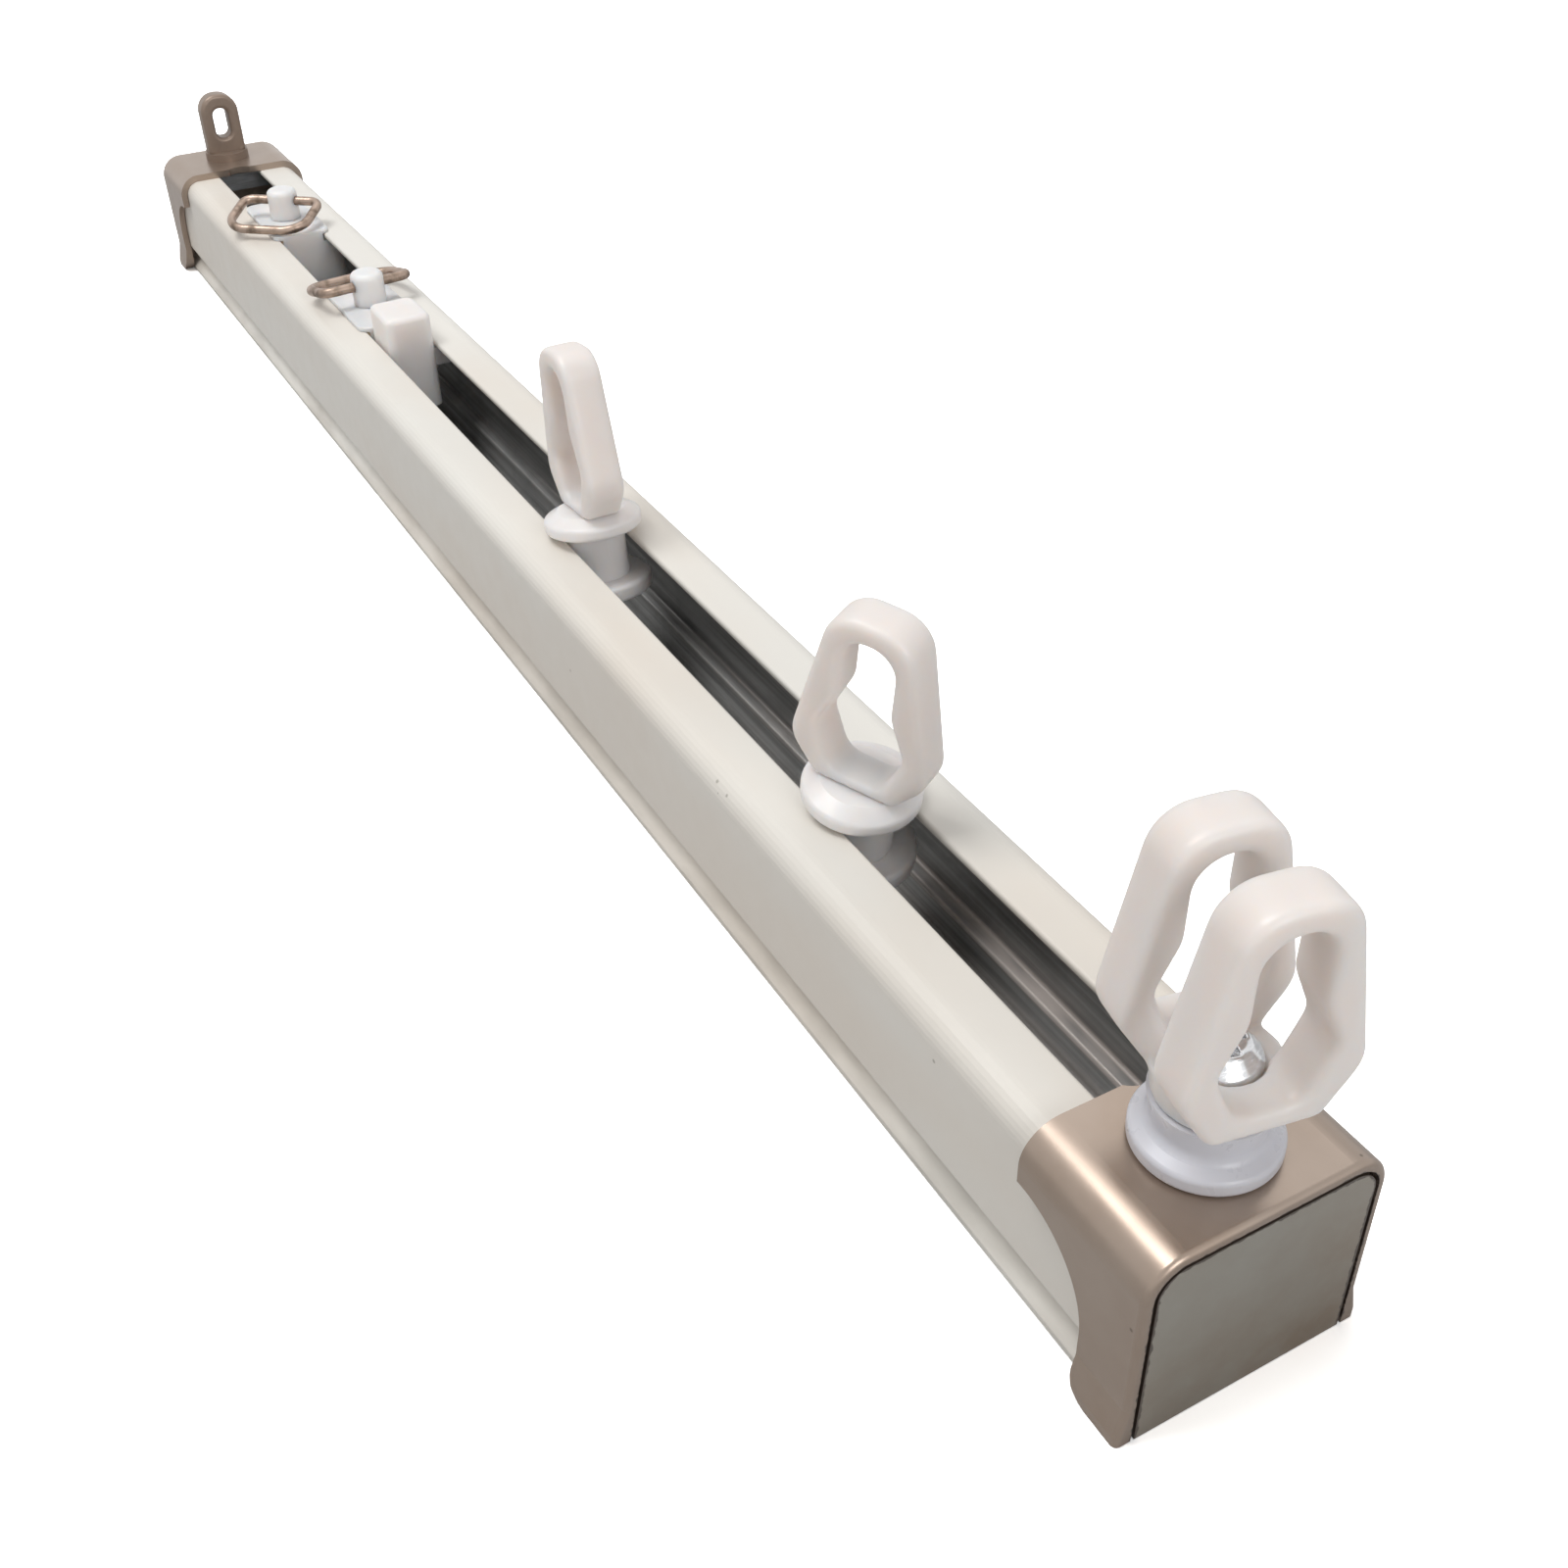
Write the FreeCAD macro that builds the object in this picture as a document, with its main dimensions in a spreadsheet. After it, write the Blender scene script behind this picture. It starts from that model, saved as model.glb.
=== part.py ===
"""Roll-formed steel curtain track with end caps, swivelling eye runners and wire-bail lead runners.

Millimetres, +Z up, rail along X with its decorated near end at +X, flat back on z = 0, slot and eyes up.
Every size is a cell of the sheet "Sizes", and the sketches, features and places are bound to those cells.
"""

import FreeCAD, Part
import math
import os

import Sketcher

os.makedirs("parts", exist_ok=True)
doc = FreeCAD.newDocument("CurtainTrack")
vector = FreeCAD.Vector
up = vector(0, 0, 1)

# Driving sizes: name, value, meaning
DRIVING_SIZES = [
    ("rail_length", 256.4, "cut length of the rail"),
    ("rail_width", 18.0, "outside width"),
    ("rail_height", 16.8, "back to the outside of the lips"),
    ("rail_sheet", 0.8, "sheet thickness"),
    ("rail_corner", 2.2, "outside bend radius beside the lips"),
    ("slot_width", 6.5, "gap between the lips"),
    ("groove_top", 4.05, "height of the step over the side groove"),
    ("groove_depth", 1.3, "depth of the side groove"),
    ("groove_step", 0.35, "fall of the step into the groove"),
    ("foot_height", 0.7, "thickness of the folded foot"),
    ("foot_rise", 1.3, "height of the foot's slope"),
    ("bead_base", 4.6, "width of the stiffening bead at the floor"),
    ("bead_top", 2.8, "width of the bead on top"),
    ("bead_height", 1.2, "height of the bead"),
    ("cap_wall", 0.9, "side wall of an end cap"),
    ("cap_roof", 1.0, "wall of an end cap over the lips"),
    ("cap_front", 1.7, "front wall of an end cap"),
    ("cap_fit", 0.1, "clearance between cap and rail"),
    ("cap_length", 13.2, "length of an end cap along the rail"),
    ("fitting_share", 0.523, "place of the near fitting, as a share of the cap's length from its face"),
    ("bolt_share", 0.455, "place of the far eye bolt, as a share of the cap's length from its face"),
    ("cheek_share", 0.409, "length of a cap's side wall low down, as a share of the cap's length"),
    ("cheek_height", 13.0, "height where a cap's side wall reaches its full length"),
    ("sweep_share", 0.949, "radius of the sweep in a cap's side wall, as a share of the wall's overhang"),
    ("cheek_toe", 2.4, "radius at the toe of a cap's side wall"),
    ("cheek_flare", 0.6, "how far a cap's side wall spreads at the bottom"),
    ("flare_height", 3.5, "height where that spread begins"),
    ("cap_edge", 0.5, "rounding round the front of a cap"),
    ("notch_radius", 2.4, "radius of the notch in a cap's rear edge"),
    ("notch_depth", 0.7, "depth of that notch"),
    ("panel_border", 0.75, "frame left round the cap's panel"),
    ("panel_groove", 0.3, "groove between frame and panel"),
    ("panel_thickness", 0.8, "thickness of the panel, flush with the frame"),
    ("screw_thread", 3.0, "diameter of the clamp screws and stems"),
    ("screw_play", 0.15, "radial clearance round a screw"),
    ("screw_head", 5.6, "diameter of the pan head"),
    ("screw_head_height", 2.2, "height of the pan head"),
    ("recess_width", 0.8, "width of the cross recess"),
    ("recess_length", 3.0, "length of the cross recess"),
    ("recess_depth", 1.2, "depth of the cross recess"),
    ("nut_gap", 0.306, "clearance between a clamp nut and the front wall of its cap"),
    ("nut_width", 12.0, "clamp nut across the rail"),
    ("nut_thickness", 2.6, "clamp nut thickness"),
    ("disc_diameter", 10.2, "outer disc of the eye fittings"),
    ("disc_rim", 1.3, "height of the disc's rim"),
    ("disc_rise", 0.8, "rise of the disc to its flat top"),
    ("disc_flat", 7.2, "diameter of the disc's flat top"),
    ("collar_neck", 7.6, "waist of the collar under the twin eye"),
    ("collar_height", 4.4, "height of that collar"),
    ("collar_top", 8.4, "diameter of the collar's top"),
    ("sleeve_wall", 0.7, "wall of the sleeve on which the twin eye turns"),
    ("turning_play", 0.1, "radial clearance of a swivelling piece"),
    ("seat_gap", 0.05, "axial clearance between pieces that move on each other"),
    ("eye_width", 12.8, "greatest outside width of an eye"),
    ("eye_crown_width", 7.2, "outside width under the crown"),
    ("eye_depth", 4.1, "thickness of an eye's limbs across its plane"),
    ("eye_crown", 2.1, "width of the crown in the eye's plane"),
    ("eye_edge", 0.7, "rounding of the limbs"),
    ("hole_bend", 2.4, "bend radius where the hole narrows"),
    ("hole_corner", 1.8, "corner radius in the hole's lower part"),
    ("hole_height", 14.0, "height of an eye's hole"),
    ("hole_foot_width", 4.6, "width of the hole at its foot"),
    ("hole_belly_width", 8.0, "greatest width of the hole"),
    ("hole_belly_height", 4.2, "height of that width over the foot"),
    ("hole_waist_width", 4.8, "width of the hole's upper part"),
    ("hole_waist_height", 8.0, "height where the upper part starts"),
    ("shoulder_height", 2.3, "height of the widest outside point over the hole's foot"),
    ("eye_neck_width", 7.8, "outside width where the eye meets its disc"),
    ("web_height", 0.8, "material between the disc's top and the hole's foot"),
    ("twin_spacing", 7.5, "distance between the two loops of the twin eye"),
    ("twin_web", 3.7, "height of the twin eye's body under the holes"),
    ("twin_floor", 1.3, "floor between the loops, below the holes' foot"),
    ("twin_neck_width", 8.0, "width of the twin eye's body"),
    ("twin_angle", -10.2, "turn of the twin eye, as photographed"),
    ("neck_diameter", 6.2, "runner's neck in the slot"),
    ("neck_length", 5.2, "neck between the discs"),
    ("inner_disc", 10.6, "inner disc of a runner"),
    ("inner_disc_height", 1.8, "height of the inner disc"),
    ("disc_edge", 0.45, "rounding of the discs"),
    ("snap_diameter", 4.2, "head that keeps a stem in its runner"),
    ("snap_height", 0.8, "height of that head"),
    ("snap_room", 0.3, "clearance round that head"),
    ("runner_1_share", 0.6856, "place of runner 1, as a share of the free half length"),
    ("runner_1_angle", -61.0, "turn of runner 1's eye, as photographed"),
    ("runner_1_lean", 9.0, "lean of runner 1 along the slot, as photographed"),
    ("runner_2_share", 0.221, "place of runner 2, as a share of the free half length"),
    ("runner_2_angle", 88.0, "turn of runner 2's eye, as photographed"),
    ("runner_2_lean", -8.5, "lean of runner 2 along the slot, as photographed"),
    ("block_length", 7.6, "sliding block along the rail"),
    ("block_height", 4.2, "sliding block over the lips"),
    ("block_depth", 8.2, "sliding block below the outside of the lips"),
    ("block_edge", 0.7, "rounding of the block"),
    ("wing_inset", 1.4, "distance of the block's wings from its ends"),
    ("wing_thickness", 2.3, "thickness of the wings that hold the block under the lips"),
    ("slider_edge", 0.9, "rounding of a slider's ends"),
    ("slider_width", 12.0, "part of a slider in the channel"),
    ("slider_depth", 6.0, "depth of that part"),
    ("slider_side_play", 0.25, "clearance each side in the slot"),
    ("lip_play", 0.25, "clearance under the lips"),
    ("lead_half", 8.6, "half the length of a lead runner's body"),
    ("lead_plate_width", 8.4, "plate of a lead runner over the lips"),
    ("lead_plate", 0.6, "thickness of that plate"),
    ("pair_share", -0.591, "middle of the two lead runners, as a share of the free half length"),
    ("pair_gap", 23.8, "distance between the two lead runners"),
    ("block_gap", 0.9, "distance between the block and the first lead runner"),
    ("post_diameter", 4.4, "head of a swivel post"),
    ("post_height", 4.3, "head of a swivel post"),
    ("post_edge", 0.8, "rounding on top of a post"),
    ("bail_axis_height", 2.6, "hinge of a bail over the plate"),
    ("bail_wire", 1.3, "wire diameter of a bail"),
    ("bail_play", 0.1, "radial clearance of the wire in its post"),
    ("bail_width", 12.1, "bail across, between wire centres"),
    ("bail_reach", 8.2, "bail from its hinge to its far bar, between wire centres"),
    ("bail_corner", 3.3, "bend radius at the far bar"),
    ("bail_bend", 1.6, "bend radius at the hinge bar"),
    ("bail_gap", 0.15, "clearance of a lowered bail over its plate"),
    ("lead_1_angle", 186.0, "direction of the first bail, as photographed"),
    ("lead_2_angle", -40.0, "direction of the second bail, as photographed"),
    ("bolt_eye_width", 6.0, "eye bolt across"),
    ("bolt_eye_height", 10.2, "eye bolt over its collar"),
    ("bolt_eye_depth", 3.0, "eye bolt along the rail"),
    ("bolt_hole_width", 2.4, "hole of the eye bolt across"),
    ("bolt_hole_height", 4.6, "hole of the eye bolt"),
    ("bolt_hole_foot", 2.2, "hole's foot over the collar"),
    ("bolt_collar", 6.8, "collar of the eye bolt"),
    ("bolt_collar_height", 1.2, "height of that collar"),
    ("bolt_edge", 0.6, "rounding of the eye bolt"),
]


class Size:
    """A length or angle: its value and the sheet expression that gives it."""

    def __init__(self, value, text):
        self.value = value
        self.text = text

    @staticmethod
    def of(number):
        return number if isinstance(number, Size) else Size(float(number), "%g" % number)

    def __add__(self, other):
        other = Size.of(other)
        return Size(self.value + other.value, "(%s + %s)" % (self.text, other.text))

    def __sub__(self, other):
        other = Size.of(other)
        return Size(self.value - other.value, "(%s - %s)" % (self.text, other.text))

    def __mul__(self, other):
        other = Size.of(other)
        return Size(self.value * other.value, "(%s * %s)" % (self.text, other.text))

    def __truediv__(self, other):
        other = Size.of(other)
        return Size(self.value / other.value, "(%s / %s)" % (self.text, other.text))

    def __neg__(self):
        return Size(-self.value, "(-1 * %s)" % self.text)


ZERO = Size(0.0, "0")


class SizeTable:
    """The sheet's cells, read by their names as sizes."""

    def __init__(self, rows):
        self.sheet = doc.addObject("Spreadsheet::Sheet", "Sizes")
        for number, (name, value, meaning) in enumerate(rows, start=1):
            self.sheet.set("A%d" % number, meaning)
            self.sheet.set("B%d" % number, "%g" % value)
            self.sheet.setAlias("B%d" % number, name)
            setattr(self, name, Size(float(value), "Sizes." + name))
        doc.recompute()


s = SizeTable(DRIVING_SIZES)


# Features

def new_body(name):
    body = doc.addObject("PartDesign::Body", name)
    body.Label = name
    return body


def new_sketch(body, role, offset=None):
    """An empty sketch on one of the body's own origin planes, shifted along the plane's normal."""
    plane = [item for item in body.Origin.OriginFeatures if item.Role == role][0]
    sketch = body.newObject("Sketcher::SketchObject", body.Name + "_sketch")
    sketch.AttachmentSupport = [(plane, "")]
    sketch.MapMode = "FlatFace"
    if offset is not None:
        sketch.setExpression("AttachmentOffset.Base.z", offset.text)
    return sketch


def hold(sketch, geometry, point, x, y):
    """Tie a sketch point to its place from the origin."""
    for kind, place in (("DistanceX", x), ("DistanceY", y)):
        number = sketch.addConstraint(Sketcher.Constraint(kind, -1, 1, geometry, point, place.value))
        sketch.setExpression("Constraints[%d]" % number, place.text)


def outline(body, role, corners, offset=None):
    """A closed straight-sided outline through corners given as pairs of sizes."""
    sketch = new_sketch(body, role, offset)
    points = [vector(x.value, y.value, 0) for x, y in corners]
    count = len(points)
    for index in range(count):
        sketch.addGeometry(Part.LineSegment(points[index], points[(index + 1) % count]), False)
    for index in range(count):
        sketch.addConstraint(Sketcher.Constraint("Coincident", index, 2, (index + 1) % count, 1))
    for index, (x, y) in enumerate(corners):
        hold(sketch, index, 1, x, y)
    return sketch


def circle(body, role, x, y, radius, offset=None):
    sketch = new_sketch(body, role, offset)
    place = vector(x.value, y.value, 0)
    sketch.addGeometry(Part.Circle(place, vector(0, 0, 1), radius.value), False)
    hold(sketch, 0, 3, x, y)
    number = sketch.addConstraint(Sketcher.Constraint("Radius", 0, radius.value))
    sketch.setExpression("Constraints[%d]" % number, radius.text)
    return sketch


def arch(body, half, bottom, top, radius, offset=None):
    """An outline across the rail: straight sides and foot, and two rounded corners on top."""
    sketch = new_sketch(body, "YZ_Plane", offset)
    level, inset = top - radius, half - radius
    right, left = vector(inset.value, level.value, 0), vector(-inset.value, level.value, 0)
    corners = [(-half, bottom), (-half, level), (-inset, top), (inset, top), (half, level), (half, bottom)]
    points = [vector(x.value, y.value, 0) for x, y in corners]
    quarter = math.pi / 2

    def bend(centre, first):
        return Part.ArcOfCircle(Part.Circle(centre, vector(0, 0, 1), radius.value), first, first + quarter)

    def straight(first, last):
        return Part.LineSegment(points[first], points[last])

    chain = (straight(0, 1), bend(left, quarter), straight(2, 3), bend(right, 0), straight(4, 5), straight(5, 0))
    for piece in chain:
        sketch.addGeometry(piece, False)
    joined = ((0, 2, 1, 2), (1, 1, 2, 1), (2, 2, 3, 2), (3, 1, 4, 1), (4, 2, 5, 1), (5, 2, 0, 1))
    for first, end, second, start in joined:
        sketch.addConstraint(Sketcher.Constraint("Coincident", first, end, second, start))
    for geometry, point, corner in ((0, 1, 0), (0, 2, 1), (2, 1, 2), (2, 2, 3), (4, 1, 4), (4, 2, 5)):
        hold(sketch, geometry, point, *corners[corner])
    for geometry in (1, 3):
        number = sketch.addConstraint(Sketcher.Constraint("Radius", geometry, radius.value))
        sketch.setExpression("Constraints[%d]" % number, radius.text)
    return sketch


def recomputed(feature):
    """Recompute, and stop where the feature failed."""
    doc.recompute()
    if not feature.isValid() or "Invalid" in feature.State or "Error" in feature.State:
        raise RuntimeError("%s failed: %s" % (feature.Name, feature.getStatusString()))
    return feature


def pad(body, sketch, length, both_ways=False, reverse=False):
    feature = body.newObject("PartDesign::Pad", body.Name + "_pad")
    feature.Profile = sketch
    feature.setExpression("Length", length.text)
    feature.Midplane = both_ways
    feature.Reversed = reverse
    return recomputed(feature)


def pocket(body, sketch, length, both_ways=False, reverse=False):
    """Cut a sketch into the body; the volume must fall."""
    before = body.Shape.Volume
    feature = body.newObject("PartDesign::Pocket", body.Name + "_pocket")
    feature.Profile = sketch
    feature.setExpression("Length", length.text)
    feature.Midplane = both_ways
    feature.Reversed = reverse
    recomputed(feature)
    if body.Shape.Volume > before - 1e-6:
        raise RuntimeError("a pocket cuts nothing in " + body.Label)
    return feature


def turn(body, corners):
    """A solid of revolution about Z from a half outline of radius and height pairs."""
    sketch = outline(body, "XZ_Plane", corners)
    feature = body.newObject("PartDesign::Revolution", body.Name + "_turn")
    feature.Profile = sketch
    feature.ReferenceAxis = (sketch, ["V_Axis"])
    feature.Angle = 360.0
    return recomputed(feature)


def edge_names(shape, chosen):
    return ["Edge%d" % (number + 1) for number, edge in enumerate(shape.Edges) if chosen(edge)]


def fillet(body, chosen, radius):
    """Round the edges of the body's tip that the test chooses."""
    base = body.Tip
    names = edge_names(base.Shape, chosen)
    if not names:
        raise RuntimeError("no edge to round in " + body.Label)
    feature = body.newObject("PartDesign::Fillet", body.Name + "_fillet")
    feature.Base = (base, names)
    feature.setExpression("Radius", radius.text)
    return recomputed(feature)


def near(value, size, slack=0.02):
    return abs(value - size.value) < slack


def along(edge, axis):
    """True for a straight edge parallel to an axis (0, 1 or 2)."""
    if edge.Curve.TypeId != "Part::GeomLine":
        return False
    ends = [vertex.Point for vertex in edge.Vertexes]
    spans = [abs(ends[1][index] - ends[0][index]) for index in range(3)]
    return all(spans[index] < 1e-6 for index in range(3) if index != axis)


def place(body, x=ZERO, z=ZERO, angle=0.0, lean=0.0):
    """Turn a body about Z, lean it along the rail, and put its origin in its place."""
    body.setExpression("Placement.Base.x", x.text)
    body.setExpression("Placement.Base.z", z.text)
    body.Placement.Rotation = FreeCAD.Rotation(vector(0, 1, 0), lean) * FreeCAD.Rotation(up, angle)
    doc.recompute()


# Places shared by the pieces

half_rail = s.rail_length / 2
face_x = half_rail + s.cap_fit + s.cap_front
free_half = face_x - s.cap_length
fitting_x = face_x - s.cap_length * s.fitting_share
bolt_x = face_x - s.cap_length * s.bolt_share
nut_half = s.cap_length * s.bolt_share - s.cap_front - s.nut_gap
cap_top_z = s.rail_height + s.cap_roof
cap_half = s.rail_width / 2 + s.cap_fit + s.cap_wall
cap_corner = s.rail_corner + s.cap_fit + s.cap_wall
lip_under_z = s.rail_height - s.rail_sheet
screw_radius = s.screw_thread / 2
stem_bore = screw_radius + s.turning_play
runner_1_x = free_half * s.runner_1_share
runner_2_x = free_half * s.runner_2_share
pair_x = free_half * s.pair_share
lead_1_x = pair_x + s.pair_gap / 2 + s.lead_half
lead_2_x = pair_x - s.pair_gap / 2 - s.lead_half
block_x = lead_1_x + s.lead_half + s.block_gap + s.block_length / 2


# Rail

def make_rail():
    """One folded strip: lips, sides with a groove over a folded foot, and a floor with a central bead."""
    body = new_body("rail")
    half, sheet, height = s.rail_width / 2, s.rail_sheet, s.rail_height
    groove_y = half - s.groove_depth
    step_z = s.groove_top - s.groove_step
    floor_to_lip = [
        (s.bead_top / 2, s.bead_height),
        (s.bead_base / 2, ZERO),
        (half, ZERO),
        (half, s.foot_height),
        (groove_y, s.foot_height + s.foot_rise),
        (groove_y, step_z),
        (half, s.groove_top),
        (half, height),
        (s.slot_width / 2, height),
    ]
    lip_to_floor = [
        (s.slot_width / 2, height - sheet),
        (half - sheet, height - sheet),
        (half - sheet, s.groove_top + sheet),
        (groove_y - sheet, step_z + sheet),
        (groove_y - sheet, sheet),
        (s.bead_base / 2, sheet),
        (s.bead_top / 2, s.bead_height + sheet),
    ]
    section = mirrored(floor_to_lip + lip_to_floor)
    pad(body, outline(body, "YZ_Plane", section), s.rail_length, both_ways=True)

    def long_edge(y, z):
        return lambda edge: along(edge, 0) and any(
            near(abs(vertex.Point.y), y) and near(vertex.Point.z, z) for vertex in edge.Vertexes
        )

    fillet(body, long_edge(half, height), s.rail_corner)
    fillet(body, long_edge(half - sheet, height - sheet), s.rail_corner - sheet)
    fillet(body, long_edge(s.slot_width / 2, height), sheet * 0.42)
    fillet(body, long_edge(s.slot_width / 2, height - sheet), sheet * 0.42)
    fillet(body, long_edge(half, s.groove_top), sheet * 0.4)
    fillet(body, long_edge(groove_y, s.foot_height + s.foot_rise), sheet)
    fillet(body, long_edge(half, s.foot_height), sheet * 0.3)
    fillet(body, long_edge(half, ZERO), sheet * 0.3)
    fillet(body, long_edge(s.bead_top / 2, s.bead_height + sheet), sheet * 0.6)
    return body


# End caps

def make_cap(name, end, fitting_share):
    """A cap over one end of the rail; end is +1 for the near end and -1 for the far end."""
    body = new_body(name)
    top = cap_top_z
    length = s.cap_length
    pad(body, arch(body, cap_half, ZERO, top, cap_corner), length)
    cavity = arch(body, s.rail_width / 2 + s.cap_fit, -s.cap_roof, s.rail_height, s.rail_corner + s.cap_fit)
    pocket(body, cavity, length - s.cap_front, reverse=True)
    low, wide = s.flare_height / 4, cap_half + s.cheek_flare
    for side in (1, -1):
        spread = [(cap_half, ZERO), (wide, ZERO), (wide, low), (cap_half, s.flare_height)]
        pad(body, outline(body, "YZ_Plane", [(y * side, z) for y, z in spread]), length)

    toe_x = length - length * s.cheek_share
    behind, below, high = -s.cap_front, -s.cap_roof, s.cheek_height
    sweep = [(behind, below), (toe_x, below), (toe_x, high), (behind, high)]
    pocket(body, outline(body, "XZ_Plane", sweep), wide * 3, both_ways=True)

    def rear_edge(z):
        """Choose the edges across the rail in the low part's rear face, at one height."""
        def chosen(edge):
            point = edge.Vertexes[0].Point
            return along(edge, 1) and near(point.x, toe_x) and near(point.z, z)

        return chosen

    fillet(body, rear_edge(high), toe_x * s.sweep_share)
    fillet(body, rear_edge(ZERO), s.cheek_toe)

    border = s.panel_border
    recess_floor = length - s.panel_thickness
    recess = arch(body, cap_half - border, below, top - border, cap_corner - border, recess_floor)
    pocket(body, recess, s.panel_thickness * 2, reverse=True)

    hole_x = length - length * fitting_share
    screw_hole = circle(body, "XY_Plane", hole_x, ZERO, screw_radius + s.screw_play, top)
    pocket(body, screw_hole, s.cap_roof * 2, both_ways=True)
    notch = circle(body, "XY_Plane", s.notch_depth - s.notch_radius, ZERO, s.notch_radius, top)
    pocket(body, notch, s.cap_roof * 2, both_ways=True)

    def front_edge(edge):
        return all(near(vertex.Point.x, length) for vertex in edge.Vertexes) and on_cap_outside(edge)

    fillet(body, front_edge, s.cap_edge)
    place(body, (face_x - length) * end, ZERO, 0 if end > 0 else 180)
    return body


def on_cap_outside(edge):
    """True for an edge that runs along the outside of a cap's cross-section."""
    middle = edge.valueAt((edge.FirstParameter + edge.LastParameter) / 2)
    side, height = abs(middle.y), middle.z
    bend_y, bend_z = (cap_half - cap_corner).value, (cap_top_z - cap_corner).value
    if side > bend_y and height > bend_z:
        return near(math.hypot(side - bend_y, height - bend_z), cap_corner)
    on_flare = side > cap_half.value and height > 0.01
    return on_flare or near(side, cap_half) or near(height, cap_top_z)


def make_panel(name, end):
    """The flush panel in the cap's front, square and open at the bottom edge."""
    body = new_body(name)
    inset = s.panel_border + s.panel_groove
    pad(body, arch(body, cap_half - inset, ZERO, cap_top_z - inset, cap_corner - inset), s.panel_thickness)
    place(body, (face_x - s.panel_thickness) * end, ZERO, 0 if end > 0 else 180)
    return body


def make_clamp_nut(name, nut_x):
    """A plate with a threaded hole that draws the cap down on the lips from inside the channel."""
    body = new_body(name)
    x, y = nut_half, s.nut_width / 2
    plate = [(-x, -y), (x, -y), (x, y), (-x, y)]
    pad(body, outline(body, "XY_Plane", plate), s.nut_thickness)
    fillet(body, lambda e: along(e, 2), s.nut_thickness / 2)
    pocket(body, circle(body, "XY_Plane", ZERO, ZERO, screw_radius), s.nut_thickness * 3, both_ways=True)
    place(body, nut_x, lip_under_z - s.nut_thickness)
    return body


# Twin eye on the near cap

eye_seat = s.collar_height + s.seat_gap
twin_hole_foot = eye_seat + s.twin_web
sleeve_radius = screw_radius + s.screw_play + s.sleeve_wall
sleeve_top = twin_hole_foot - s.twin_floor + s.seat_gap


def make_collar():
    """The white collar under the twin eye: a disc, a waist, and the sleeve on which the eye turns."""
    body = new_body("near_eye_collar")
    bore = screw_radius + s.screw_play
    rim = s.disc_diameter / 2
    turn(body, [
        (bore, ZERO), (rim, ZERO), (rim, s.disc_rim), (s.collar_neck / 2, s.disc_rim + s.disc_rise),
        (s.collar_top / 2, s.collar_height), (sleeve_radius, s.collar_height), (sleeve_radius, sleeve_top),
        (bore, sleeve_top),
    ])
    round_ring(body, rim, ZERO, s.disc_edge)
    round_ring(body, rim, s.disc_rim, s.disc_edge)
    round_ring(body, s.collar_neck / 2, s.disc_rim + s.disc_rise, s.disc_rise)
    place(body, fitting_x, cap_top_z)
    return body


def round_ring(body, radius, z, size):
    """Round the circular edge of a turned body at one radius and height."""
    fillet(body, lambda e: e.Curve.TypeId == "Part::GeomCircle" and near(e.Curve.Radius, radius)
           and near(e.Curve.Center.z, z), size)


def eye_outline(foot, neck_half, seat):
    """Outside and hole of an eye in its own plane, from its seat to its crown."""
    shoulder = (s.eye_width / 2, foot + s.shoulder_height)
    crown = (s.eye_crown_width / 2, foot + s.hole_height + s.eye_crown)
    right = [(neck_half, seat), shoulder, crown]
    waist = s.hole_waist_width / 2
    hole_right = [
        (s.hole_foot_width / 2, foot), (s.hole_belly_width / 2, foot + s.hole_belly_height),
        (waist, foot + s.hole_waist_height), (waist, foot + s.hole_height),
    ]
    return mirrored(right), mirrored(hole_right)


def mirrored(right):
    """Closed half-symmetric outline from its right half, listed upwards or downwards."""
    return right + [(-y, z) for y, z in reversed(right)]


def corner_at(y, z):
    """Choose the edges along X at one distance from the middle plane and one height."""
    def chosen(edge):
        if not along(edge, 0):
            return False
        point = edge.Vertexes[0].Point
        return near(abs(point.y), y) and near(point.z, z)

    return chosen


def cut_and_round_eye(body, outside, hole, depth, gap=ZERO, gap_floor=ZERO):
    """Cut the hole, round the corners, then round the limbs' edges, also beside the gap of a twin eye."""
    seat_z = outside[0][1]
    wide, shoulder_z = outside[1]
    crown, crown_z = outside[2]
    waist, hole_top = hole[3]
    fillet(body, corner_at(crown, crown_z), crown * 0.9)
    fillet(body, corner_at(wide, shoulder_z), wide * 0.45)
    pocket(body, outline(body, "YZ_Plane", hole), depth * 2, both_ways=True)
    fillet(body, corner_at(waist, hole_top), waist * 0.95)
    for (y, z), bend in zip(hole[:3], (s.hole_corner, s.hole_corner, s.hole_bend)):
        fillet(body, corner_at(y, z), bend)

    def on_side(edge):
        """True above the seat on an outer side, and above the floor on a side of the gap."""
        middle = edge.valueAt((edge.FirstParameter + edge.LastParameter) / 2)
        if any(abs(vertex.Point.x - middle.x) > 0.02 for vertex in edge.Vertexes):
            return False
        outer = near(abs(middle.x), depth / 2) and middle.z > (seat_z + s.seat_gap).value
        inner = near(abs(middle.x), gap / 2) and middle.z > (gap_floor + s.seat_gap).value
        return outer or (gap.value > 0 and inner)

    fillet(body, on_side, s.eye_edge)


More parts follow.
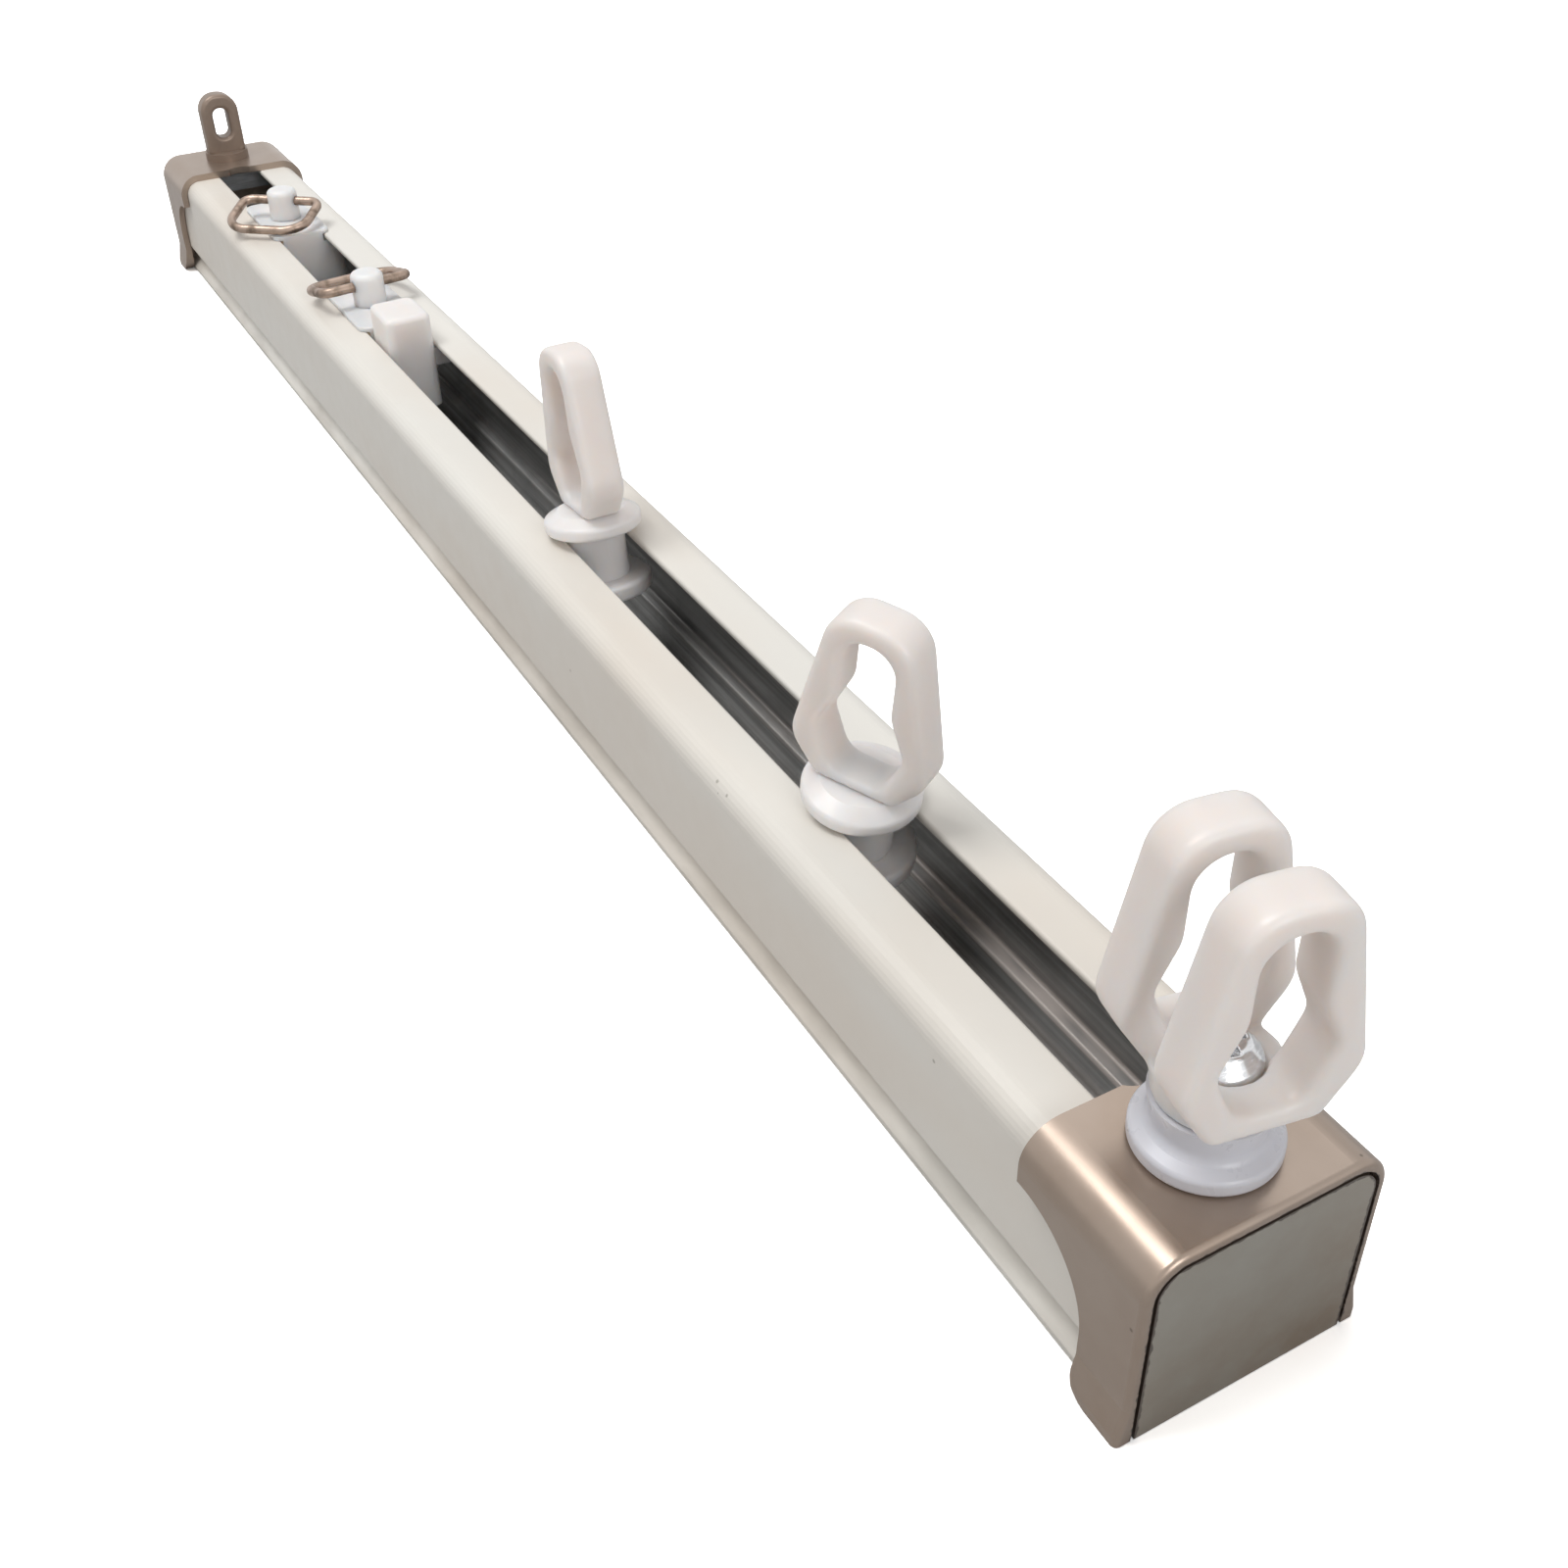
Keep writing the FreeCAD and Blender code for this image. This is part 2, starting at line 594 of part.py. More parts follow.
def make_twin_eye():
    """Two parallel loops on one body, which turns on the collar's sleeve with the screw head between them."""
    body = new_body("near_twin_eye")
    loop_seat = twin_hole_foot - s.web_height * 2
    outside, hole = eye_outline(twin_hole_foot, s.twin_neck_width / 2, loop_seat)
    depth = s.twin_spacing + s.eye_depth
    gap = s.twin_spacing - s.eye_depth
    pad(body, outline(body, "YZ_Plane", outside), depth, both_ways=True)
    floor_z = twin_hole_foot - s.twin_floor
    above = twin_hole_foot + s.hole_height * 2
    between = [(-gap / 2, floor_z), (gap / 2, floor_z), (gap / 2, above), (-gap / 2, above)]
    pocket(body, outline(body, "XZ_Plane", between), s.eye_width * 2, both_ways=True)
    cut_and_round_eye(body, outside, hole, depth, gap, floor_z)
    boss = s.twin_neck_width / 2
    boss_top = loop_seat + s.web_height
    turn(body, [(ZERO, eye_seat), (boss, eye_seat), (boss + s.web_height / 2, boss_top), (ZERO, boss_top)])
    bore = sleeve_radius + s.turning_play
    pocket(body, circle(body, "XY_Plane", ZERO, ZERO, bore, eye_seat), s.twin_web * 3, both_ways=True)
    room = s.screw_head / 2 + s.turning_play * 2
    head_room = circle(body, "XY_Plane", ZERO, ZERO, room, floor_z)
    pocket(body, head_room, s.screw_head_height * 2, reverse=True)
    place(body, fitting_x, cap_top_z, s.twin_angle.value)
    return body


def make_screw(name):
    """Pan-head screw with a cross recess, from the sleeve's top down through the clamp nut."""
    body = new_body(name)
    head = s.screw_head / 2
    tip = -(sleeve_top + cap_top_z - lip_under_z + s.nut_thickness)
    turn(body, [
        (ZERO, tip), (screw_radius - s.turning_play, tip), (screw_radius, tip + s.turning_play * 3),
        (screw_radius, ZERO), (head, ZERO), (head, s.screw_head_height * 0.45),
        (head * 0.62, s.screw_head_height), (ZERO, s.screw_head_height),
    ])
    round_ring(body, head, s.screw_head_height * 0.45, s.screw_head_height * 0.35)
    round_ring(body, head * 0.62, s.screw_head_height, s.screw_head_height * 0.3)
    wide, long = s.recess_width / 2, s.recess_length / 2
    bars = ([(-long, -wide), (long, -wide), (long, wide), (-long, wide)],
            [(-wide, -long), (wide, -long), (wide, long), (-wide, long)])
    for bar in bars:
        pocket(body, outline(body, "XY_Plane", bar, s.screw_head_height), s.recess_depth)
    place(body, fitting_x, cap_top_z + sleeve_top, s.twin_angle.value)
    return body


# Runners

disc_top = s.seat_gap + s.disc_rim + s.disc_rise
inner_top = -s.neck_length
inner_bottom = inner_top - s.inner_disc_height
snap_seat = inner_bottom + s.snap_height + s.seat_gap * 2


def leaning_height(lean):
    """Height of a runner's origin over the rail's back while it leans on the edge of its outer disc."""
    rise = Size(math.sin(math.radians(abs(lean.value))), "sin(abs(%s) * 1 deg)" % lean.text)
    return s.rail_height + s.disc_diameter / 2 * rise


def make_glider(name, x, lean):
    """Outer disc on the lips, neck in the slot and inner disc in the channel, turned in one piece."""
    body = new_body(name)
    rim, neck, inner = s.disc_diameter / 2, s.neck_diameter / 2, s.inner_disc / 2
    snap = s.snap_diameter / 2 + s.snap_room
    turn(body, [
        (stem_bore, disc_top), (stem_bore, snap_seat), (snap, snap_seat), (snap, inner_bottom),
        (inner, inner_bottom), (inner, inner_top), (neck, inner_top), (neck, s.seat_gap),
        (rim, s.seat_gap), (rim, s.seat_gap + s.disc_rim), (s.disc_flat / 2, disc_top),
    ])
    round_ring(body, rim, s.seat_gap, s.disc_edge)
    round_ring(body, rim, s.seat_gap + s.disc_rim, s.disc_edge)
    round_ring(body, inner, inner_top, s.disc_edge)
    round_ring(body, inner, inner_bottom, s.disc_edge)
    place(body, x, leaning_height(lean), lean=lean.value)
    return body


def add_stem(body, top, bottom_seat):
    """The stem under a swivelling piece and the head that keeps it, turned about Z."""
    snap = s.snap_diameter / 2
    snap_top = bottom_seat - s.seat_gap
    turn(body, [
        (ZERO, top), (ZERO, snap_top - s.snap_height), (snap - s.snap_height / 2, snap_top - s.snap_height),
        (snap, snap_top), (screw_radius, snap_top), (screw_radius, top),
    ])


def make_runner_eye(name, x, angle, lean):
    """A single loop with a stem that turns in the glider."""
    body = new_body(name)
    seat = disc_top + s.seat_gap
    outside, hole = eye_outline(seat + s.web_height, s.eye_neck_width / 2, seat)
    pad(body, outline(body, "YZ_Plane", outside), s.eye_depth, both_ways=True)
    cut_and_round_eye(body, outside, hole, s.eye_depth)
    add_stem(body, seat + s.web_height / 2, snap_seat)
    place(body, x, leaning_height(lean), angle.value, lean.value)
    return body


# Sliding block and lead runners

slider_waist = s.slot_width / 2 - s.slider_side_play


def add_slider(body, half_length, bend):
    """The neck in the slot and the guide in the channel, in one section."""
    waist = slider_waist
    under = -(s.rail_sheet + s.lip_play)
    deep = s.slider_width / 2
    right = [(waist, s.seat_gap), (waist, under), (deep, under), (deep, under - s.slider_depth)]
    pad(body, outline(body, "YZ_Plane", mirrored(right)), half_length * 2, both_ways=True)
    fillet(body, lambda e: along(e, 2) and near(abs(e.Vertexes[0].Point.y), deep), bend)


def make_slide_block():
    """A block that fills the slot and stands over the lips, held by two short wings under them."""
    body = new_body("slide_block")
    x, y = s.block_length / 2, slider_waist
    plan = [(-x, -y), (x, -y), (x, y), (-x, y)]
    pad(body, outline(body, "XY_Plane", plan, -s.block_depth), s.block_height + s.block_depth)
    fillet(body, lambda e: along(e, 2), s.block_edge * 1.5)
    fillet(body, lambda e: near(e.BoundBox.ZMin, s.block_height), s.block_edge)
    under = -(s.rail_sheet + s.lip_play)
    wing_half, wide = x - s.wing_inset, s.slider_width / 2
    wings = [(-wing_half, -wide), (wing_half, -wide), (wing_half, wide), (-wing_half, wide)]
    pad(body, outline(body, "XY_Plane", wings, under), s.wing_thickness, reverse=True)
    fillet(body, lambda e: along(e, 2) and near(abs(e.Vertexes[0].Point.y), wide), s.slider_edge)
    place(body, block_x, s.rail_height)
    return body


lead_top = s.seat_gap + s.lead_plate
lead_floor = -(s.rail_sheet + s.lip_play) - s.slider_depth
lead_snap_seat = lead_floor + s.snap_height + s.seat_gap * 2
bail_axis = lead_top + s.bail_axis_height


def make_lead_body(name, x):
    """A thin plate over the lips on a guide in the channel, bored for its swivel post."""
    body = new_body(name)
    half, wide = s.lead_half, s.lead_plate_width / 2
    plan = [(-half, -wide), (half, -wide), (half, wide), (-half, wide)]
    pad(body, outline(body, "XY_Plane", plan, s.seat_gap), s.lead_plate)
    fillet(body, lambda e: along(e, 2), s.slider_edge * 1.8)
    fillet(body, lambda e: near(e.BoundBox.ZMin, lead_top), s.lead_plate / 3)
    add_slider(body, half, s.slider_edge * 2)
    pocket(body, circle(body, "XY_Plane", ZERO, ZERO, stem_bore), s.slider_depth * 4, both_ways=True)
    snap = s.snap_diameter / 2 + s.snap_room
    pocket(body, circle(body, "XY_Plane", ZERO, ZERO, snap, lead_snap_seat), s.slider_depth)
    place(body, x, s.rail_height)
    return body


def make_post(name, x, angle):
    """The swivel post, cross-bored for the bail's hinge bar."""
    body = new_body(name)
    radius, top = s.post_diameter / 2, lead_top + s.seat_gap + s.post_height
    turn(body, [(ZERO, lead_top + s.seat_gap), (radius, lead_top + s.seat_gap), (radius, top), (ZERO, top)])
    round_ring(body, radius, top, s.post_edge)
    add_stem(body, lead_top + s.seat_gap + s.post_edge, lead_snap_seat)
    pocket(body, circle(body, "XZ_Plane", ZERO, bail_axis, s.bail_wire / 2 + s.bail_play),
           s.post_diameter * 2, both_ways=True)
    place(body, x, s.rail_height, angle.value)
    return body


def make_bail(name, x, angle):
    """A closed wire loop, lowered onto its plate: a hinge bar through the post and a rounded far bar."""
    wire = s.bail_wire.value / 2
    half, reach = s.bail_width.value / 2, s.bail_reach.value
    pieces = []
    corners = [(0.0, -half, s.bail_bend.value), (reach, -half, s.bail_corner.value),
               (reach, half, s.bail_corner.value), (0.0, half, s.bail_bend.value)]
    middle = vector(reach / 2, 0, 0)
    for index, (cx, cy, bend) in enumerate(corners):
        next_x, next_y, next_bend = corners[(index + 1) % 4]
        here, there = vector(cx, cy, 0), vector(next_x, next_y, 0)
        run = (there - here).normalize()
        start = here + run * bend
        length = (there - run * next_bend - start).Length
        pieces.append(Part.makeCylinder(wire, length, start, run))
        inward = vector(math.copysign(bend, middle.x - cx), math.copysign(bend, middle.y - cy), 0)
        bend_centre = here + inward
        first = math.degrees(math.atan2(-inward.y, -inward.x)) - 45
        ring = Part.makeTorus(bend, wire, vector(), up, -180, 180, 90)
        ring.rotate(vector(), up, first)
        ring.translate(bend_centre)
        pieces.append(ring)
    loop = pieces[0].fuse(pieces[1:]).removeSplitter()
    lowered = math.degrees(math.asin((bail_axis - lead_top - s.bail_gap - s.bail_wire / 2).value / reach))
    feature = doc.addObject("Part::Feature", name)
    feature.Label = name
    feature.Shape = loop
    tilt = FreeCAD.Rotation(vector(0, 1, 0), lowered)
    heading = FreeCAD.Rotation(up, angle.value)
    hinge = vector(x.value, 0, (s.rail_height + bail_axis).value)
    feature.Placement = FreeCAD.Placement(hinge, heading * tilt)
    return feature


# Eye bolt on the far cap

def make_eye_bolt():
    """A short eye with a collar, whose shank clamps the far cap to its nut."""
    body = new_body("far_eye_bolt")
    wide = s.bolt_eye_width / 2
    collar = s.bolt_collar / 2
    foot = s.bolt_collar_height / 2
    top = s.bolt_eye_height
    plate = [(-wide, foot), (wide, foot), (wide, top), (-wide, top)]
    pad(body, outline(body, "YZ_Plane", plate), s.bolt_eye_depth, both_ways=True)
    fillet(body, corner_at(wide, top), wide * 0.92)
    fillet(body, corner_at(wide, foot), wide * 0.3)
    collar_top = s.bolt_collar_height
    side = s.bolt_eye_depth / 2

    def on_side(edge):
        return near(abs(edge.BoundBox.XMin), side) and near(abs(edge.BoundBox.XMax), side)

    def round_hole(edge):
        middle = edge.CenterOfMass
        beside = low.value - 0.1 < middle.z < high.value + 0.1 and abs(middle.y) < hole.value + 0.1
        return beside and on_side(edge)

    fillet(body, lambda e: on_side(e) and e.CenterOfMass.z > foot.value + 0.05, s.bolt_edge)
    hole = s.bolt_hole_width / 2
    low = collar_top + s.bolt_hole_foot
    high = low + s.bolt_hole_height
    slot = [(-hole, low), (hole, low), (hole, high), (-hole, high)]
    pocket(body, outline(body, "YZ_Plane", slot), s.bolt_eye_depth * 2, both_ways=True)
    fillet(body, lambda e: along(e, 0) and near(abs(e.Vertexes[0].Point.y), hole), hole * 0.9)
    fillet(body, round_hole, s.bolt_edge)
    tip = -(cap_top_z - lip_under_z + s.nut_thickness)
    turn(body, [
        (ZERO, s.bolt_collar_height), (collar, s.bolt_collar_height), (collar, ZERO), (screw_radius, ZERO),
        (screw_radius, tip), (ZERO, tip),
    ])
    place(body, -bolt_x, cap_top_z)
    return body


pieces = [make_rail()]
for side, end, share, x in (("near", 1, s.fitting_share, fitting_x), ("far", -1, s.bolt_share, -bolt_x)):
    pieces.append(make_cap(side + "_cap", end, share))
    pieces.append(make_panel(side + "_cap_panel", end))
    pieces.append(make_clamp_nut(side + "_clamp_nut", x))
pieces += [make_collar(), make_twin_eye(), make_screw("near_clamp_screw"), make_eye_bolt()]
for number, x, angle, lean in ((1, runner_1_x, s.runner_1_angle, s.runner_1_lean),
                               (2, runner_2_x, s.runner_2_angle, s.runner_2_lean)):
    pieces.append(make_glider("runner_%d_glider" % number, x, lean))
    pieces.append(make_runner_eye("runner_%d_eye" % number, x, angle, lean))
pieces.append(make_slide_block())
for number, x, angle in ((1, lead_1_x, s.lead_1_angle), (2, lead_2_x, s.lead_2_angle)):
    pieces.append(make_lead_body("lead_runner_%d_body" % number, x))
    pieces.append(make_post("lead_runner_%d_post" % number, x, angle))
    pieces.append(make_bail("lead_runner_%d_bail" % number, x, angle))

doc.recompute()
for item in doc.Objects:
    if "Invalid" in item.State or "Error" in item.State:
        raise RuntimeError("%s failed: %s" % (item.Label, item.State))
for piece in pieces:
    shape = piece.Shape
    if shape.isNull() or not shape.isValid() or shape.Volume <= 0:
        raise RuntimeError("bad shape: " + piece.Label)
    if len(shape.Solids) != 1:
        raise RuntimeError("%s has %d solids" % (piece.Label, len(shape.Solids)))
for piece in pieces:
    piece.Shape.exportStep(os.path.join("parts", piece.Label + ".step"))
    box = piece.Shape.BoundBox
    print("%-22s %9.2f mm3  x %7.2f..%7.2f  y %6.2f..%6.2f  z %6.2f..%6.2f" % (
        piece.Label, piece.Shape.Volume, box.XMin, box.XMax, box.YMin, box.YMax, box.ZMin, box.ZMax))
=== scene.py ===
"""Looks for the curtain track: enamel and bare steel, lacquered caps, moulded plastic and plated wire.

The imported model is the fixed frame. The rail is rolled again from its section, the eyes and the clamp
screw get softer edges, the bails are bent from wire, and every other node keeps its solid and gets its
finish here.
"""

from __future__ import annotations

import logging
import math
from dataclasses import dataclass
from enum import Enum
from typing import Callable, Sequence

import bmesh
import bpy
from mathutils import Matrix, Vector


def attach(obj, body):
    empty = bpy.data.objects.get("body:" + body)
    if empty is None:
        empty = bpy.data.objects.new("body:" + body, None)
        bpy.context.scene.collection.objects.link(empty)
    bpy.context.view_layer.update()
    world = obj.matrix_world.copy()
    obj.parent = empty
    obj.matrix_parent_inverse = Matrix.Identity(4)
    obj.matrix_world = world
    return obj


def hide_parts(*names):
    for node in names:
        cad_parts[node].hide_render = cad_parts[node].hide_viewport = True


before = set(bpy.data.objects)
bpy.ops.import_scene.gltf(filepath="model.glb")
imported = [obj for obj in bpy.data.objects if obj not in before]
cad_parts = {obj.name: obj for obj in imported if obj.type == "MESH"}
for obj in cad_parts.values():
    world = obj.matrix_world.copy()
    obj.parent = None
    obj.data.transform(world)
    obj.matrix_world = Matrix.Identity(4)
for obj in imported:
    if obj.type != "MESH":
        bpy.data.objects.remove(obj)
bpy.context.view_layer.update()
MM = 0.001
WELD = 1e-6  # metres within which two points are one
LOG = logging.getLogger("curtain_track")

COLOUR_A, COLOUR_B, COLOUR_OUT = 6, 7, 2  # sockets of the mix node that share their names with others

Colour = tuple[float, float, float]
Point = tuple[float, float, float]
Pair = tuple[float, float]
Marks = tuple[tuple[Point, float], ...]  # centre and radius of each, in millimetres
Socket = bpy.types.NodeSocket


def srgb(red: int, green: int, blue: int) -> Colour:
    """Turn a colour as seen on a screen into the linear values that shaders use.

    Args:
        red: Red from 0 to 255.
        green: Green from 0 to 255.
        blue: Blue from 0 to 255.

    Returns:
        The linear colour.
    """
    shares = [value / 255 for value in (red, green, blue)]
    linear = [s / 12.92 if s <= 0.04045 else ((s + 0.055) / 1.055) ** 2.4 for s in shares]
    return linear[0], linear[1], linear[2]


def tinted(colour: Colour, red: float, green: float, blue: float) -> Colour:
    """Scale the parts of a colour.

    Args:
        colour: The linear colour.
        red: Factor for its red.
        green: Factor for its green.
        blue: Factor for its blue.

    Returns:
        The scaled colour, each part held at 1.
    """
    scaled = [min(1.0, part * factor) for part, factor in zip(colour, (red, green, blue))]
    return scaled[0], scaled[1], scaled[2]


class Ray(Enum):
    """Kind of ray, as the light path node names it."""

    CAMERA = "Is Camera Ray"
    GLOSSY = "Is Glossy Ray"
    TRANSMISSION = "Is Transmission Ray"


class Axis(Enum):
    """Row of a vector, as the separate node names it."""

    X = "X"
    Y = "Y"
    Z = "Z"


class ShaderTree:
    """Builds the nodes of one shader tree from left to right."""

    def __init__(self, tree: bpy.types.NodeTree) -> None:
        """Empty a tree and start on it.

        Args:
            tree: The tree of a material or of the world.
        """
        self.tree = tree
        self.tree.nodes.clear()

    def add(self, kind: str, **settings: object) -> bpy.types.Node:
        """Add a node and set its properties.

        Args:
            kind: Type of node.
            settings: The node's own properties.

        Returns:
            The node.
        """
        node = self.tree.nodes.new(kind)
        for key, value in settings.items():
            setattr(node, key, value)
        return node

    def feed(self, socket: Socket, value: object) -> None:
        """Link a socket into an input, or set the input to a plain value.

        Args:
            socket: The input.
            value: A socket, a number or a colour.
        """
        if isinstance(value, bpy.types.NodeSocket):
            self.tree.links.new(value, socket)
        elif isinstance(value, tuple) and len(value) == 3 and socket.type == "RGBA":
            socket.default_value = (*value, 1.0)
        else:
            socket.default_value = value

    def math(self, operation: str, first: object, second: object = 0.0, clamp: bool = False) -> Socket:
        """Combine one or two numbers.

        Args:
            operation: Name of the operation, such as MULTIPLY.
            first: First number or socket.
            second: Second number or socket.
            clamp: Keep the result from 0 to 1.

        Returns:
            The result's socket.
        """
        node = self.add("ShaderNodeMath", operation=operation, use_clamp=clamp)
        self.feed(node.inputs[0], first)
        self.feed(node.inputs[1], second)
        return node.outputs[0]

    def largest(self, values: Sequence[Socket], least: float) -> Socket:
        """Largest of several numbers and a least value.

        Args:
            values: The numbers.
            least: The result where none is larger.

        Returns:
            The largest number's socket.
        """
        most: object = least
        for value in values:
            most = self.math("MAXIMUM", value, most)
        return most


class Recipe(ShaderTree):
    """Builds the nodes of one material, in the part's own coordinates."""

    def __init__(self, name: str) -> None:
        """Start an empty material.

        Args:
            name: Name of the material.
        """
        self.material = bpy.data.materials.new(name)
        self.material.use_nodes = True
        super().__init__(self.material.node_tree)
        self.place = self.add("ShaderNodeTexCoord").outputs["Object"]

    def along(self, axis: Axis) -> Socket:
        """Coordinate along one axis of the part.

        Args:
            axis: The axis.

        Returns:
            The coordinate in metres.
        """
        node = self.add("ShaderNodeSeparateXYZ")
        self.feed(node.inputs[0], self.place)
        return node.outputs[axis.value]

    def ramp(self, value: Socket, low: float, high: float,
             start: float = 0.0, end: float = 1.0) -> Socket:
        """Map a number smoothly from one range to another, held at both ends.

        Args:
            value: The number.
            low: Value that gives start.
            high: Value that gives end.
            start: Result at low and below.
            end: Result at high and above.

        Returns:
            The mapped number's socket.
        """
        node = self.add("ShaderNodeMapRange", interpolation_type="SMOOTHSTEP")
        for index, number in enumerate((value, low, high, start, end)):
            self.feed(node.inputs[index], number)
        return node.outputs[0]

    def over(self, place: Socket, span: Pair, start: float = 0.0, end: float = 1.0) -> Socket:
        """Map a place smoothly over a span of the part, held at both ends.

        Args:
            place: The place in metres.
            span: Where the change starts and ends, in millimetres.
            start: Result at the start and before it.
            end: Result at the end and past it.

        Returns:
            The mapped number's socket.
        """
        return self.ramp(place, span[0] * MM, span[1] * MM, start, end)

    def noise(self, per_mm: float, detail: float = 2.0, stretch: Point = (1.0, 1.0, 1.0),
              rough: float = 0.5) -> Socket:
        """Cloudy noise over the part.

        Args:
            per_mm: Number of clouds in a millimetre.
            detail: Octaves of finer noise.
            stretch: Scale along each axis, below 1 to draw the clouds out.
            rough: Weight of the finer octaves.

        Returns:
            The noise's value.
        """
        mapping = self.add("ShaderNodeMapping")
        self.feed(mapping.inputs["Vector"], self.place)
        mapping.inputs["Scale"].default_value = stretch
        node = self.add("ShaderNodeTexNoise")
        self.feed(node.inputs["Vector"], mapping.outputs[0])
        node.inputs["Scale"].default_value = per_mm / MM
        node.inputs["Detail"].default_value = detail
        node.inputs["Roughness"].default_value = rough
        return node.outputs["Fac"]

    def mix(self, share: object, first: object, second: object) -> Socket:
        """Mix two colours.

        Args:
            share: Share of the second colour.
            first: Colour at share 0.
            second: Colour at share 1.

        Returns:
            The mixed colour's socket.
        """
        node = self.add("ShaderNodeMix", data_type="RGBA")
        self.feed(node.inputs["Factor"], share)
        self.feed(node.inputs[COLOUR_A], first)
        self.feed(node.inputs[COLOUR_B], second)
        return node.outputs[COLOUR_OUT]

    def blend(self, share: Socket, first: Socket, second: Socket) -> Socket:
        """Mix two numbers.

        Args:
            share: Share of the second number.
            first: Number at share 0.
            second: Number at share 1.

        Returns:
            The mixed number's socket.
        """
        kept = self.math("MULTIPLY", first, self.math("SUBTRACT", 1.0, share))
        return self.math("ADD", kept, self.math("MULTIPLY", second, share))

    def beyond_arch(self, half: float, top: float, corner: float) -> Socket:
        """Distance outside an upright outline with two rounded top corners, seen along the rail.

        Args:
            half: Half of the outline's width in millimetres.
            top: Its height in millimetres.
            corner: Its corner radius in millimetres.

        Returns:
            The distance in metres, negative inside.
        """
        side = self.math("SUBTRACT", self.math("ABSOLUTE", self.along(Axis.Y)), (half - corner) * MM)
        rise = self.math("SUBTRACT", self.along(Axis.Z), (top - corner) * MM)
        side_square = self.math("POWER", self.math("MAXIMUM", side, 0.0), 2.0)
        rise_square = self.math("POWER", self.math("MAXIMUM", rise, 0.0), 2.0)
        outer = self.math("SQRT", self.math("ADD", side_square, rise_square))
        inner = self.math("MINIMUM", self.math("MAXIMUM", side, rise), 0.0)
        return self.math("SUBTRACT", self.math("ADD", outer, inner), corner * MM)

    def spot(self, centre: Point, radius: float, edge: float = 0.5) -> Socket:
        """A soft ragged spot, as a scuff or a speck has it.

        Args:
            centre: The spot's centre in millimetres.
            radius: Its radius in millimetres.
            edge: Share of the radius that fades.

        Returns:
            A share from 0 outside to 1 in the spot.
        """
        node = self.add("ShaderNodeVectorMath", operation="DISTANCE")
        self.feed(node.inputs[0], self.place)
        node.inputs[1].default_value = tuple(c * MM for c in centre)
        grain, wander = 3.0 / max(radius, 0.2), 0.7 * radius * MM
        ragged = self.math("MULTIPLY", self.noise(grain, 3.0), wander)
        reach = self.math("ADD", node.outputs["Value"], ragged)
        outline = radius * MM + wander / 2
        return self.ramp(reach, outline - edge * radius * MM, outline, 1.0, 0.0)

    def bump(self, height: Socket, depth_mm: float, base: Socket | None = None) -> Socket:
        """Turn a height into a normal.

        Args:
            height: Height from 0 to 1.
            depth_mm: Height of 1 in millimetres.
            base: Normal of a coarser bump under this one.

        Returns:
            The normal's socket.
        """
        node = self.add("ShaderNodeBump")
        node.inputs["Strength"].default_value = 1.0
        node.inputs["Distance"].default_value = depth_mm * MM
        self.feed(node.inputs["Height"], height)
        if base is not None:
            self.feed(node.inputs["Normal"], base)
        return node.outputs[0]

    def surface(self, **values: object) -> bpy.types.Node:
        """Add the surface shader.

        Args:
            values: A value for each input, named with underscores for spaces.

        Returns:
            The shader.
        """
        node = self.add("ShaderNodeBsdfPrincipled")
        for key, value in values.items():
            self.feed(node.inputs[key.replace("_", " ")], value)
        return node

    def close(self, shader: bpy.types.Node) -> bpy.types.Material:
        """Link the shader to the output.

        Args:
            shader: The material's last shader.

        Returns:
            The finished material.
        """
        output = self.add("ShaderNodeOutputMaterial")
        self.tree.links.new(shader.outputs[0], output.inputs["Surface"])
        return self.material


@dataclass(frozen=True)
class Finish:
    """What every finish on the track has."""

    name: str
    colour: Colour
    roughness: float

    def make(self) -> bpy.types.Material:
        """Build the finish's material.

        Returns:
            The material.
        """
        raise NotImplementedError


